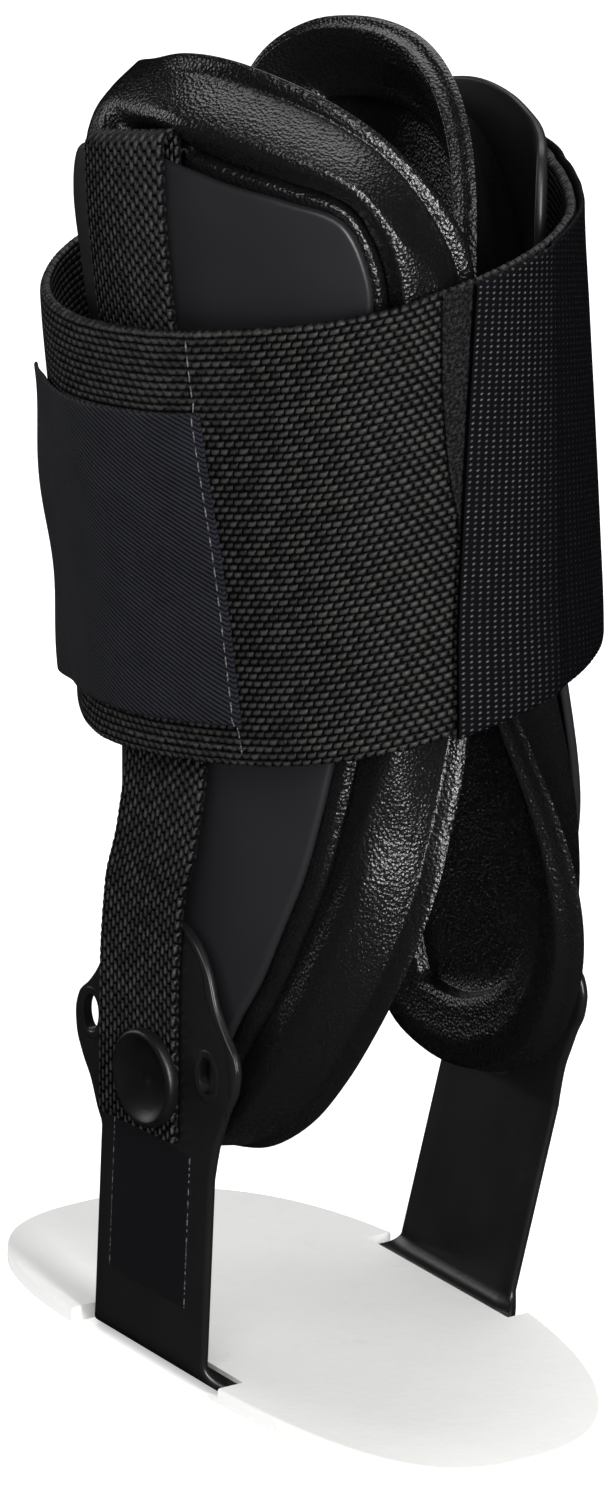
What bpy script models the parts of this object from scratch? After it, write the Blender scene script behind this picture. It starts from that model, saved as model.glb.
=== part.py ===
"""Stirrup ankle brace, standing on its foot pad.

A plastic stirrup passes under a foam foot pad and rises on both sides of the
ankle. A rivet in each head carries a curved shell with a moulded foam pad inside
it, and a narrow webbing strap over it. A wide calf strap closes round both shells.

Metres, +Z up. +X points to the toe, -Y to the outer side of the leg. The origin
lies on the floor, straight under the hinge axis, which runs along Y.
"""
import functools
import math

import bmesh
import bpy
import numpy as np
from mathutils import Vector

MM = 0.001

# Clearances
GAP = 0.3 * MM              # between pieces that touch
FOAM_GAP = 0.8 * MM         # between a pad and its shell
RUNNING_GAP = 0.5 * MM      # between the stirrup's heads and the shells
LAYER_GAP = 0.4 * MM        # between layers of cloth, and between webbing and shell

# Stirrup
STIRRUP_WIDTH = 78.0 * MM       # outside to outside at the base
STIRRUP_THICK = 2.0 * MM
ARM_BREADTH = 37.6 * MM
ARM_BACK = 1.0 * MM             # arms' middle, behind the hinge
BASE_BREADTH = 47.0 * MM
BEND_RADIUS = 5.0 * MM          # middle of the wall
HEAD_HALF_BREADTH = 28.0 * MM
HEAD_RISE = 33.5 * MM           # above the hinge axis
HINGE_HEIGHT = 62.0 * MM
MEDIAL_LEAN = 8.5 * MM          # how far the inner arm leans out at its head
EYELET_HEIGHT = 7.6 * MM
EYELET_WIDTH = 5.2 * MM
EYELET_REACH = 19.8 * MM        # from the head's middle, fore and aft
HEAD_BACK = 4.5 * MM            # the eyelets' middle, behind the hinge
EYELET_RISE = 5.0 * MM          # above the rivet
NECK_LOW = 0.72                 # where the neck meets the arm, share of HINGE_HEIGHT

# Foot pad
PAD_LENGTH = 152.0 * MM
PAD_WIDTH = 79.0 * MM
PAD_THICK = 3.3 * MM
PAD_FORWARD = 5.5 * MM
PAD_TAPER = 0.093               # narrower to the toe
PAD_BOW = 6.0 * MM              # both ends bend to the outer side
PAD_SQUARENESS = 2.65           # 2 is an ellipse
PAD_ROUND = 0.5 * MM            # soft edge

# Rivets
SHANK_RADIUS = 3.0 * MM
CAP_RADIUS = 10.0 * MM
CAP_HEIGHT = 2.6 * MM
FLANGE_RADIUS = 6.5 * MM
FLANGE_THICK = 1.0 * MM

# Shells
SHELL_THICK = 2.0 * MM
SHELL_BOTTOM = 46.0 * MM        # height of the lower end
SHELL_TOP = 251.0 * MM
SHELL_REACH = 56.0 * MM         # longest arm of the outline, fore and aft
LATERAL_TILT = math.radians(-3.4)
MEDIAL_TILT = math.radians(-7.2)
LATERAL_FLARE = 11.0 * MM       # how far the shell leans out at its top
MEDIAL_FLARE = 1.5 * MM
FLAT_CURVE = 5.5                # bend round the leg at the hinge, 1 / m
CALF_CURVE = 13.7               # and round the calf
CURVE_START = 75.0 * MM
CURVE_END = 170.0 * MM

# Moulded pads
FOAM_THICK = 11.0 * MM
FOAM_OVER = 18.0 * MM           # the pads stand over the shells' tops
FOAM_SHORT = 2.0 * MM           # and end above the shells' lower ends
FOAM_BOTTOM = SHELL_BOTTOM + FOAM_SHORT
FOAM_TOP = SHELL_TOP + FOAM_OVER
FOAM_REACH = 77.0 * MM
ROLL_DEPTH = 5.0 * MM           # the border's edge, inside the shell, at the ankle
ROLL_CURL = 5.5 * MM            # and how much further in it curls at the calf
FIELD_INSET = 17.0 * MM         # from the inner pad's edge to its field

# Webbing
WEBBING_WIDTH = 25.4 * MM
WEBBING_THICK = 1.8 * MM
WEBBING_LOW = 50.0 * MM         # lower end, under the rivet
FOLD_RISE = 3.5 * MM            # the fold stands over the shell's top
FOLD_SLOPE = 0.2                # and climbs forward
TUCK_LENGTH = 34.0 * MM         # inside the shell
MEDIAL_WEBBING_BACK = 4.0 * MM
MEDIAL_WEBBING_SHORT = 36.0 * MM    # sewn under the calf strap, below the shell's top

# Calf strap
STRAP_HEIGHT = 88.9 * MM
STRAP_THICK = 2.2 * MM
STRAP_LOW = 139.2 * MM          # lower edge at the axis
STRAP_TILT_FORE = 0.142         # rise per length, to the toe
STRAP_TILT_SIDE = 0.219         # and to the inner side
STRAP_HALF_LENGTH = 60.0 * MM
STRAP_ROOM = 10.0 * MM          # half width beyond the stirrup's
SQUEEZE_BAND = 14.0 * MM        # the pads are pressed in this far above and below
TAB_THICK = 1.2 * MM
LINING_THICK = 0.8 * MM
LABEL_THICK = 0.8 * MM

# Places on the calf strap: turns out of STRAP_TURNS, from the toe round by the
# inner side, and shares of its height.
STRAP_TURNS = 60
TAB_TURNS = (-2, 21)
LINING_TURNS = (-3, 2)
LINING_LOW = 0.45
LABEL_TURNS = (37, 49)
LABEL_LOW = 0.10
LABEL_HIGH = 0.82
LEVEL_ROOM = 0.02

# Sticker
STICKER_WIDTH = 26.0 * MM
STICKER_BACK = 0.8 * MM         # behind the arm's middle
STICKER_LOW = 16.2 * MM
STICKER_HIGH = 48.5 * MM
STICKER_THICK = 0.3 * MM

# Facets
ROUND_SIDES = 16
EYELET_SIDES = 12
SOLE_SIDES = 52
OUTLINE_POINTS = 40
STACK_LEVELS = 5
STACK_TURNS = 60
INNER_SHARES = (0.25, 0.5, 0.75, 0.93)

# Half breadths of the stirrup's head. Columns: height over the hinge (share of
# HEAD_RISE, or of the hinge height below it), rear, front (shares of
# HEAD_HALF_BREADTH).
HEAD_ROWS = (
    (1.00, 0.12, 0.10),
    (0.97, 0.30, 0.24),
    (0.90, 0.46, 0.38),
    (0.77, 0.62, 0.51),
    (0.59, 0.74, 0.61),
    (0.44, 0.83, 0.75),
    (0.33, 0.93, 0.87),
    (0.24, 1.04, 0.90),
    (0.12, 1.08, 0.88),
    (0.00, 1.06, 0.81),
)
NECK_ROWS = (
    (0.08, 0.97, 0.74),
    (0.14, 0.87, 0.69),
    (0.23, 0.77, 0.65),
)

# How far the shells stand out at a height. Columns: height (share of FOAM_TOP),
# lateral, medial (shares of the side's flare).
FLARE_ROWS = (
    (0.00, 0.00, 0.00),
    (0.395, 0.00, 0.00),
    (0.53, 0.05, -1.20),
    (0.715, 0.42, -1.90),
    (0.90, 0.97, -0.60),
    (1.10, 1.10, 0.40),
)

# Outlines on the unrolled surface. Columns: along (share of the reach), up
# (share of the height from bottom to top).
SHELL_OUTLINE = (
    (0.00, 0.000), (0.18, 0.054), (0.30, 0.127), (0.45, 0.190), (0.56, 0.254),
    (0.66, 0.322), (0.75, 0.430), (0.86, 0.595), (0.945, 0.776), (0.99, 0.888),
    (0.965, 0.941), (0.84, 0.968), (0.54, 0.981), (0.09, 0.998), (-0.25, 0.986),
    (-0.44, 0.968), (-0.48, 0.927), (-0.45, 0.824), (-0.41, 0.630), (-0.365, 0.380),
    (-0.34, 0.260), (-0.25, 0.083), (-0.14, 0.015),
)
LATERAL_OUTLINE = (
    (0.09, 0.000), (0.23, 0.004), (0.435, 0.045), (0.635, 0.133), (0.79, 0.250),
    (0.88, 0.416), (0.96, 0.630), (1.00, 0.800), (0.97, 0.862), (0.85, 0.912),
    (0.635, 0.964), (0.30, 0.995), (0.00, 0.993), (-0.18, 0.977), (-0.40, 0.955),
    (-0.56, 0.905), (-0.60, 0.815), (-0.56, 0.630), (-0.49, 0.434), (-0.415, 0.222),
    (-0.30, 0.063), (-0.12, 0.010),
)
MEDIAL_OUTLINE = (
    (0.05, 0.005), (0.22, 0.018), (0.39, 0.045), (0.57, 0.104), (0.695, 0.190),
    (0.76, 0.317), (0.76, 0.460), (0.72, 0.620), (0.65, 0.740), (0.59, 0.810),
    (0.46, 0.870), (0.31, 0.914), (0.14, 0.946), (-0.04, 0.964), (-0.26, 0.970),
    (-0.49, 0.957), (-0.66, 0.914), (-0.73, 0.833), (-0.68, 0.643), (-0.56, 0.434),
    (-0.44, 0.222), (-0.31, 0.054), (-0.13, 0.011),
)

# Section of the pads' border. Columns: way out (share, from the shell's outline to
# the pad's), depth (share of ROLL_DEPTH, inwards from the shell's inner face).
BORDER_ROWS = (
    (0.00, 0.00),
    (0.08, 0.00),
    (0.16, 0.04),
    (0.24, 0.20),
    (0.32, 0.14),
    (0.45, 0.20),
    (0.58, 0.34),
    (0.72, 0.54),
    (0.84, 0.76),
    (0.88, 0.87),
    (1.00, 1.02),
)
# The same on the leg's side. Depth is a share of FOAM_THICK.
LEG_ROWS = (
    (0.97, 0.66),
    (0.84, 0.98),
    (0.50, 1.12),
    (0.20, 1.04),
    (0.08, 0.86),
)
LEG_FIELD_DEPTH = 0.78          # middle of the leg's side, share of FOAM_THICK

# Middle line of the narrow webbing. Columns: height (share of FOAM_TOP), shift
# (share of WEBBING_WIDTH, forward).
WEBBING_ROWS = (
    (0.18, -0.22), (0.30, -0.21), (0.365, -0.15), (0.41, -0.03), (0.48, 0.03), (0.80, 0.0),
)

# Loop of the calf strap, every 30 degrees from the toe round by the inner side.
# Columns: radius of the lower edge, of the upper edge (shares of an oval of
# STRAP_HALF_LENGTH by the half width).
STRAP_LOOP = (
    (0.90, 0.80), (0.93, 0.78), (0.94, 0.79), (0.94, 0.90), (1.04, 1.07), (1.11, 1.13),
    (1.04, 1.12), (0.98, 1.15), (0.92, 1.13), (0.855, 1.03), (0.88, 0.96), (0.92, 0.88),
)


def clear_scene():
    for thing in list(bpy.data.objects):
        bpy.data.objects.remove(thing, do_unlink=True)
    for mesh in list(bpy.data.meshes):
        bpy.data.meshes.remove(mesh)


def ease(value):
    value = min(max(value, 0.0), 1.0)
    return value * value * (3.0 - 2.0 * value)


def read_rows(rows, place, column):
    """Smooth reading of a table: no overshoot, flat where two rows agree."""
    xs = [row[0] for row in rows]
    ys = [row[column] for row in rows]
    if xs[0] > xs[-1]:
        xs.reverse()
        ys.reverse()
    if place <= xs[0]:
        return ys[0]
    if place >= xs[-1]:
        return ys[-1]
    steps = [(ys[i + 1] - ys[i]) / (xs[i + 1] - xs[i]) for i in range(len(xs) - 1)]
    slopes = [0.0]
    for before, after in zip(steps, steps[1:]):
        slopes.append(0.0 if before * after <= 0 else 2 * before * after / (before + after))
    slopes.append(steps[-1])
    i = max(k for k in range(len(xs) - 1) if xs[k] <= place)
    width = xs[i + 1] - xs[i]
    t = (place - xs[i]) / width
    return ((1 + 2 * t) * (1 - t) ** 2 * ys[i] + t * (1 - t) ** 2 * width * slopes[i]
            + t * t * (3 - 2 * t) * ys[i + 1] - t * t * (1 - t) * width * slopes[i + 1])


def closed_curve(points, count):
    """Points at even spacing on a smooth closed curve through a few points."""
    points = np.array(points)
    dense = []
    for i in range(len(points)):
        a, b, c, d = (points[(i + k - 1) % len(points)] for k in range(4))
        for t in np.linspace(0, 1, 12, endpoint=False):
            dense.append(0.5 * (2 * b + (c - a) * t + (2 * a - 5 * b + 4 * c - d) * t ** 2
                                + (3 * b - a - 3 * c + d) * t ** 3))
    dense = np.array(dense + [dense[0]])
    along = np.concatenate([[0], np.cumsum(np.linalg.norm(np.diff(dense, axis=0), axis=1))])
    places = np.linspace(0, along[-1], count, endpoint=False)
    return np.stack([np.interp(places, along, dense[:, k]) for k in range(2)], axis=1)


def make_material(name, colour, roughness, metallic=0.0):
    material = bpy.data.materials.new(name)
    material.use_nodes = True
    shader = material.node_tree.nodes["Principled BSDF"]
    shader.inputs["Base Color"].default_value = (*colour, 1.0)
    shader.inputs["Roughness"].default_value = roughness
    shader.inputs["Metallic"].default_value = metallic
    material.diffuse_color = (*colour, 1.0)
    return material


def add_object(name, bm, material, smooth_angle=40.0):
    bmesh.ops.recalc_face_normals(bm, faces=bm.faces)
    if bm.calc_volume(signed=True) < 0:
        bmesh.ops.reverse_faces(bm, faces=bm.faces)
    mesh = bpy.data.meshes.new(name)
    bm.to_mesh(mesh)
    bm.free()
    mesh.shade_smooth()
    mesh.set_sharp_from_angle(angle=math.radians(smooth_angle))
    mesh.materials.append(material)
    thing = bpy.data.objects.new(name, mesh)
    bpy.context.scene.collection.objects.link(thing)
    return thing


def rings_body(rings, closed=False):
    """Closed body through rings of equally many points. The ends are capped, or
    the last ring joins the first."""
    bm = bmesh.new()
    loops = [[bm.verts.new(point) for point in ring] for ring in rings]
    pairs = list(zip(loops, loops[1:]))
    if closed:
        pairs.append((loops[-1], loops[0]))
    for low, high in pairs:
        for i in range(len(low)):
            j = (i + 1) % len(low)
            bm.faces.new((low[i], low[j], high[j], high[i]))
    if not closed:
        for loop in (loops[0], loops[-1]):
            middle = bm.verts.new(sum((v.co for v in loop), Vector()) / len(loop))
            for i in range(len(loop)):
                bm.faces.new((loop[i], loop[(i + 1) % len(loop)], middle))
    return bm


def cut(thing, bm, name):
    """Cut a closed mesh out of an object with a Boolean modifier."""
    bmesh.ops.recalc_face_normals(bm, faces=bm.faces)
    if bm.calc_volume(signed=True) < 0:
        bmesh.ops.reverse_faces(bm, faces=bm.faces)
    mesh = bpy.data.meshes.new(name)
    bm.to_mesh(mesh)
    bm.free()
    cutter = bpy.data.objects.new(name, mesh)
    bpy.context.scene.collection.objects.link(cutter)
    cutter.hide_render = True
    cutter.display_type = "WIRE"
    modifier = thing.modifiers.new(name, "BOOLEAN")
    modifier.operation = "DIFFERENCE"
    modifier.solver = "EXACT"
    modifier.object = cutter


def turned_body(profile, side, sides=ROUND_SIDES):
    """Body turned round the hinge axis. The profile holds (radius, y) rows."""
    rings = []
    for radius, y in profile:
        ring = []
        for i in range(sides):
            angle = 2 * math.pi * i / sides
            ring.append((radius * math.cos(angle), side * y,
                         HINGE_HEIGHT + radius * math.sin(angle)))
        rings.append(ring)
    return rings_body(rings)


def side_lean(side):
    return MEDIAL_LEAN if side > 0 else 0.0


def shell_face(side):
    """Distance of a shell's outer face from the middle plane, at the hinge."""
    return STIRRUP_WIDTH / 2 - STIRRUP_THICK - RUNNING_GAP + side_lean(side)


def upper_point(side, along, height, off):
    """Point on the shell's outer surface, or off it: positive is away from the leg.

    along runs forward on the unrolled surface, from its widest line."""
    column, flare = (2, MEDIAL_FLARE) if side > 0 else (1, LATERAL_FLARE)
    out = shell_face(side) + flare * read_rows(FLARE_ROWS, height / FOAM_TOP, column)
    share = ease((height - CURVE_START) / (CURVE_END - CURVE_START))
    curve = FLAT_CURVE + (CALF_CURVE - FLAT_CURVE) * share
    angle = curve * along
    x = math.sin(angle) / curve + off * math.sin(angle)
    y = out - (1 - math.cos(angle)) / curve + off * math.cos(angle)
    tilt = MEDIAL_TILT if side > 0 else LATERAL_TILT
    rise = height - HINGE_HEIGHT
    return Vector((x * math.cos(tilt) + rise * math.sin(tilt),
                   side * y,
                   HINGE_HEIGHT - x * math.sin(tilt) + rise * math.cos(tilt)))


def shell_outline():
    height = SHELL_TOP - SHELL_BOTTOM
    rows = [(u * SHELL_REACH, SHELL_BOTTOM + v * height) for u, v in SHELL_OUTLINE]
    return closed_curve(rows, OUTLINE_POINTS)


def foam_outline(side):
    height = FOAM_TOP - FOAM_BOTTOM
    table = MEDIAL_OUTLINE if side > 0 else LATERAL_OUTLINE
    rows = [(u * FOAM_REACH, FOAM_BOTTOM + v * height) for u, v in table]
    return closed_curve(rows, OUTLINE_POINTS)


def surface_ring(side, outline, off):
    return [upper_point(side, along, height, off) for along, height in outline]


def shrink(outline, share):
    middle = outline.mean(axis=0)
    return middle + (outline - middle) * share


def make_shell(side, material):
    outline = shell_outline()
    name = "medial_shell" if side > 0 else "lateral_shell"
    outer = [surface_ring(side, shrink(outline, s), 0.0) for s in (*INNER_SHARES, 0.99)]
    edge = [surface_ring(side, outline, -SHELL_THICK * s) for s in (0.25, 0.75)]
    inner = [surface_ring(side, shrink(outline, s), -SHELL_THICK)
             for s in (0.99, *reversed(INNER_SHARES))]
    shell = add_object(name, rings_body(outer + edge + inner), material)
    far = shell_face(side)
    hole = turned_body([(SHANK_RADIUS + GAP, far + 4 * MM), (SHANK_RADIUS + GAP, far - 6 * MM)],
                       side)
    cut(shell, hole, name + "_hole")
    return shell


def border_points(side, inner, outer, share, depth, thickness):
    """Ring of the pad's border. The border curls in to the leg, more at the calf
    than at the ankle, and is bent further in where the calf strap presses it."""
    face = -(SHELL_THICK + FOAM_GAP)
    skin_depth = read_rows(BORDER_ROWS, share, 1)
    points = []
    for along, height in inner + (outer - inner) * share:
        calf = ease((height - CURVE_START) / (CURVE_END - CURVE_START))
        roll = ROLL_DEPTH + ROLL_CURL * calf
        skin = face - skin_depth * roll
        off = face - depth * roll
        if thickness:
            off = face - thickness * FOAM_THICK - max(skin_depth - 0.5, 0.0) * ROLL_CURL * calf
        points.append(pressed_point(side, along, height, skin, off))
    return points


def field_points(side, outline, depth):
    """Ring of the pad's middle, at a depth inside the shell's inner face."""
    face = -(SHELL_THICK + FOAM_GAP)
    return [pressed_point(side, along, height, face, face - depth)
            for along, height in outline]


def pressed_point(side, along, height, skin, off):
    """Point of a pad at an offset, moved in as far as the strap presses its skin."""
    return upper_point(side, along, height, off) + squeeze(
        upper_point(side, along, height, skin))


def inset(outline, width):
    """The outline, moved in by a width."""
    before, after = np.roll(outline, 1, axis=0), np.roll(outline, -1, axis=0)
    run = after - before
    normal = np.stack([-run[:, 1], run[:, 0]], axis=1)
    normal /= np.linalg.norm(normal, axis=1)[:, None]
    turned = np.sum((outline.mean(axis=0) - outline) * normal) > 0
    return outline + normal * (width if turned else -width)


def match_start(inner, outer):
    """Turn the outer outline's points so that they pair with the inner ones."""
    best = min(range(len(outer)),
               key=lambda k: np.sum((np.roll(outer, -k, axis=0) - inner) ** 2))
    return np.roll(outer, -best, axis=0)


def make_foam(side, material):
    """Moulded pad: a field behind the shell, a groove round it and a thick roll."""
    name = "medial_pad" if side > 0 else "lateral_pad"
    edge = foam_outline(side)
    if side > 0:
        field = inset(edge, FIELD_INSET)
    else:
        field = shell_outline()
        edge = match_start(field, edge)
    rings = [field_points(side, shrink(field, s), 0.0) for s in INNER_SHARES]
    for share, depth in BORDER_ROWS:
        rings.append(border_points(side, field, edge, share, depth, 0.0))
    for share, depth in LEG_ROWS:
        rings.append(border_points(side, field, edge, share, 0.0, depth))
    for share in reversed(INNER_SHARES):
        rings.append(field_points(side, shrink(field, share), LEG_FIELD_DEPTH * FOAM_THICK))
    foam = add_object(name, rings_body(rings), material)
    inside = shell_face(side) - SHELL_THICK
    pocket = turned_body([(FLANGE_RADIUS + 4 * GAP, inside + 4 * MM),
                          (FLANGE_RADIUS + 4 * GAP, inside - FLANGE_THICK - 3 * GAP)], side)
    cut(foam, pocket, name + "_rivet_pocket")
    if side < 0:
        cut(foam, tuck_pocket(side), name + "_webbing_pocket")
    return foam


def tuck_pocket(side):
    """Hollow in the outer pad for the webbing tucked in over the shell's top."""
    deep = -(SHELL_THICK + LAYER_GAP + WEBBING_THICK + 2 * GAP)
    climb = FOLD_SLOPE * WEBBING_WIDTH / 2
    low = shell_top_height() - TUCK_LENGTH - climb - GAP
    high = shell_top_height() + FOLD_RISE + climb + GAP
    columns = np.linspace(-1, 1, 5) * (WEBBING_WIDTH / 2 + 2 * GAP)
    rings = []
    for height in np.linspace(low, high, 7):
        ring = [upper_point(side, column, height, deep) for column in columns]
        ring += [upper_point(side, column, height, WEBBING_THICK)
                 for column in reversed(columns)]
        rings.append(ring)
    return rings_body(rings)


def webbing_path(side):
    """Rows of (height, off, flat) for the middle of the webbing's thickness. flat is
    1 where it lies on the stirrup's head and 0 where it follows the shell."""
    over_head = STIRRUP_THICK + RUNNING_GAP + GAP + WEBBING_THICK / 2
    on_shell = LAYER_GAP + WEBBING_THICK / 2
    inside = -(SHELL_THICK + LAYER_GAP + WEBBING_THICK / 2)
    head_top = HINGE_HEIGHT + HEAD_RISE
    shell_top = shell_top_height()
    fold_radius = (on_shell - inside) / 2
    fold_height = shell_top + FOLD_RISE - fold_radius - WEBBING_THICK / 2
    if side > 0:
        fold_height = shell_top - MEDIAL_WEBBING_SHORT
    path = []
    for share in np.linspace(0, 1, 6):
        path.append((WEBBING_LOW + share * (head_top + 2 * MM - WEBBING_LOW), over_head, 1.0))
    for share in (0.5, 1.0):
        off = over_head + (on_shell - over_head) * ease(share)
        path.append((head_top + 2 * MM + share * 12 * MM, off, 1.0 - ease(share)))
    low = head_top + 14 * MM
    for share in np.linspace(0, 1, 14)[1:]:
        path.append((low + share * (fold_height - low), on_shell, 0.0))
    folded = len(path)
    if side > 0:
        return path, folded + len(path)
    for angle in np.linspace(0, math.pi, 7)[1:-1]:
        path.append((fold_height + fold_radius * math.sin(angle),
                     (on_shell + inside) / 2 + fold_radius * math.cos(angle), 0.0))
    tuck_end = shell_top - TUCK_LENGTH
    for share in np.linspace(0, 1, 6):
        path.append((fold_height + share * (tuck_end - fold_height), inside, 0.0))
    return path, folded


def shell_top_height():
    """Highest point of the shell where the narrow webbing crosses its top edge."""
    return max(h for u, h in shell_outline() if abs(u) < WEBBING_WIDTH * 0.75)


def webbing_body(side):
    """Narrow webbing from the rivet up the shell and over its top."""
    path, folded = webbing_path(side)
    half_width = WEBBING_WIDTH / 2
    half_thick = WEBBING_THICK / 2
    back = MEDIAL_WEBBING_BACK if side > 0 else 0.0
    columns = np.linspace(-half_width, half_width, 5)
    rings = []
    for i, (height, off, flat) in enumerate(path):
        before = path[max(i - 1, 0)]
        after = path[min(i + 1, len(path) - 1)]
        run = Vector((after[0] - before[0], after[1] - before[1])).normalized()
        middle = read_rows(WEBBING_ROWS, height / FOAM_TOP, 1) * WEBBING_WIDTH - back
        ring = []
        for order, sign in ((columns, 1), (reversed(columns), -1)):
            for column in order:
                droop = FLAT_CURVE * (middle + column) ** 2 / 2
                climb = FOLD_SLOPE * column * min(max((i - folded + 3) / 3, 0.0), 1.0)
                ring.append(upper_point(side, middle + column,
                                        height + climb - run[1] * half_thick * sign,
                                        off + run[0] * half_thick * sign + flat * droop))
        rings.append(ring)
    return rings_body(rings)


def make_webbing(side, material):
    name = "medial_webbing" if side > 0 else "lateral_webbing"
    webbing = add_object(name, webbing_body(side), material)
    far = STIRRUP_WIDTH / 2 + side_lean(side)
    hole = turned_body([(SHANK_RADIUS + GAP, far + 6 * MM), (SHANK_RADIUS + GAP, far - 1 * MM)],
                       side)
    cut(webbing, hole, name + "_hole")
    return webbing


def make_rivet(side, material):
    """Dished cap outside the webbing, shank, and a flat flange inside the shell."""
    name = "medial_rivet" if side > 0 else "lateral_rivet"
    under = STIRRUP_WIDTH / 2 + side_lean(side) + GAP + WEBBING_THICK + GAP
    inside = shell_face(side) - SHELL_THICK - GAP
    profile = [
        (CAP_RADIUS * 0.10, under + CAP_HEIGHT * 0.35),
        (CAP_RADIUS * 0.45, under + CAP_HEIGHT * 0.42),
        (CAP_RADIUS * 0.72, under + CAP_HEIGHT * 0.66),
        (CAP_RADIUS * 0.88, under + CAP_HEIGHT),
        (CAP_RADIUS * 0.96, under + CAP_HEIGHT * 0.92),
        (CAP_RADIUS, under + CAP_HEIGHT * 0.60),
        (CAP_RADIUS * 0.97, under),
        (SHANK_RADIUS, under),
        (SHANK_RADIUS, inside),
        (FLANGE_RADIUS, inside),
        (FLANGE_RADIUS, inside - FLANGE_THICK),
    ]
    return add_object(name, turned_body(profile, side), material, 30.0)


def stirrup_stations():
    """Rows of (y, z, rear, front) down the outer arm, across and up the inner arm."""
    side = (STIRRUP_WIDTH - STIRRUP_THICK) / 2
    floor = STIRRUP_THICK / 2
    bend = floor + BEND_RADIUS
    arm_rear = -ARM_BACK - ARM_BREADTH / 2
    arm_front = -ARM_BACK + ARM_BREADTH / 2
    base_rear = -ARM_BACK - BASE_BREADTH / 2
    base_front = -ARM_BACK + BASE_BREADTH / 2
    neck_end = HINGE_HEIGHT * NECK_LOW
    head = [(HINGE_HEIGHT + up * HEAD_RISE, -rear * HEAD_HALF_BREADTH,
             front * HEAD_HALF_BREADTH) for up, rear, front in HEAD_ROWS]
    head += [(HINGE_HEIGHT * (1 - down), -rear * HEAD_HALF_BREADTH,
              front * HEAD_HALF_BREADTH) for down, rear, front in NECK_ROWS]
    arm = [(z, arm_rear, arm_front) for z in np.linspace(neck_end, bend, 4)]
    column = head + arm

    def lean(z):
        return MEDIAL_LEAN * min((z - bend) / (neck_end - bend), 1.0)

    rows = [(-side, z, rear, front) for z, rear, front in column]
    turns = np.linspace(0, math.pi / 2, 6)
    for angle in turns[1:]:
        share = angle / (math.pi / 2)
        rows.append((-side + BEND_RADIUS * (1 - math.cos(angle)),
                     bend - BEND_RADIUS * math.sin(angle),
                     arm_rear + (base_rear - arm_rear) * share,
                     arm_front + (base_front - arm_front) * share))
    mirrored = [(-y, z, rear, front) for y, z, rear, front in reversed(rows[-len(turns) + 1:])]
    rows += mirrored
    rows += [(side + lean(z), z, rear, front) for z, rear, front in reversed(column)]
    return rows


def make_stirrup(material):
    rows = stirrup_stations()
    rings = []
    half = STIRRUP_THICK / 2
    round_over = STIRRUP_THICK * 0.35
    for i, (y, z, rear, front) in enumerate(rows):
        y0, z0 = rows[max(i - 1, 0)][:2]
        y1, z1 = rows[min(i + 1, len(rows) - 1)][:2]
        run = Vector((y1 - y0, z1 - z0)).normalized()
        out = Vector((run[1], -run[0]))
        section = [(rear + round_over, half), (front - round_over, half),
                   (front, half - round_over), (front, round_over - half),
                   (front - round_over, -half), (rear + round_over, -half),
                   (rear, round_over - half), (rear, half - round_over)]
        rings.append([(x, y + out[0] * t, z + out[1] * t) for x, t in section])
    stirrup = add_object("stirrup", rings_body(rings), material)
    for side in (-1, 1):
        mid = STIRRUP_WIDTH / 2 + side_lean(side)
        label = "medial" if side > 0 else "lateral"
        hole = turned_body([(SHANK_RADIUS + GAP, mid + 4 * MM), (SHANK_RADIUS + GAP, mid - 6 * MM)],
                           side)
        cut(stirrup, hole, label + "_rivet_hole")
        for end, reach in (("rear", -EYELET_REACH), ("front", EYELET_REACH)):
            rings = []
            for y in (mid + 4 * MM, mid - 6 * MM):
                ring = []
                for i in range(EYELET_SIDES):
                    angle = 2 * math.pi * i / EYELET_SIDES
                    ring.append((reach - HEAD_BACK + EYELET_WIDTH / 2 * math.cos(angle), side * y,
                                 HINGE_HEIGHT + EYELET_RISE
                                 + EYELET_HEIGHT / 2 * math.sin(angle)))
                rings.append(ring)
            cut(stirrup, rings_body(rings), label + "_" + end + "_eyelet")
    cut(stirrup, sticker_body(GAP), "sticker_pocket")
    return stirrup


def make_foot_pad(material):
    """White foam sole with a notch for each arm and a channel for the base."""
    outline = []
    for i in range(SOLE_SIDES):
        angle = 2 * math.pi * (i + 0.5) / SOLE_SIDES
        c, s = math.cos(angle), math.sin(angle)
        along = math.copysign(abs(c) ** (2 / PAD_SQUARENESS), c)
        across = math.copysign(abs(s) ** (2 / PAD_SQUARENESS), s) * (1 - PAD_TAPER * along)
        outline.append((along * PAD_LENGTH / 2 + PAD_FORWARD,
                        across * PAD_WIDTH / 2 - PAD_BOW * along ** 2))
    rings = []
    for z, shrink_by in ((0.0, PAD_ROUND), (PAD_ROUND, 0.0), (PAD_THICK - PAD_ROUND, 0.0),
                         (PAD_THICK, PAD_ROUND)):
        ring = []
        for x, y in outline:
            away = Vector((x - PAD_FORWARD, y)).normalized() * shrink_by
            ring.append((x - away[0], y - away[1], z))
        rings.append(ring)
    pad = add_object("foot_pad", rings_body(rings), material)
    channel = BASE_BREADTH / 2 + GAP
    roof = STIRRUP_THICK + GAP
    slot = box_body((-ARM_BACK - channel, -STIRRUP_WIDTH, -5 * MM),
                    (-ARM_BACK + channel, STIRRUP_WIDTH, roof))
    cut(pad, slot, "base_channel")
    for side in (-1, 1):
        near = STIRRUP_WIDTH / 2 - STIRRUP_THICK - BEND_RADIUS + 2 * GAP
        ends = sorted((side * near, side * STIRRUP_WIDTH))
        notch = box_body((-ARM_BACK - channel - GAP, ends[0], -4 * MM),
                         (-ARM_BACK + channel + GAP, ends[1], PAD_THICK + 5 * MM))
        cut(pad, notch, "medial_notch" if side > 0 else "lateral_notch")
    return pad


def box_body(low, high):
    bm = bmesh.new()
    bmesh.ops.create_cube(bm, size=1.0)
    low, high = Vector(low), Vector(high)
    for vert in bm.verts:
        vert.co = Vector(low[k] + (vert.co[k] + 0.5) * (high[k] - low[k]) for k in range(3))
    return bm


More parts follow.
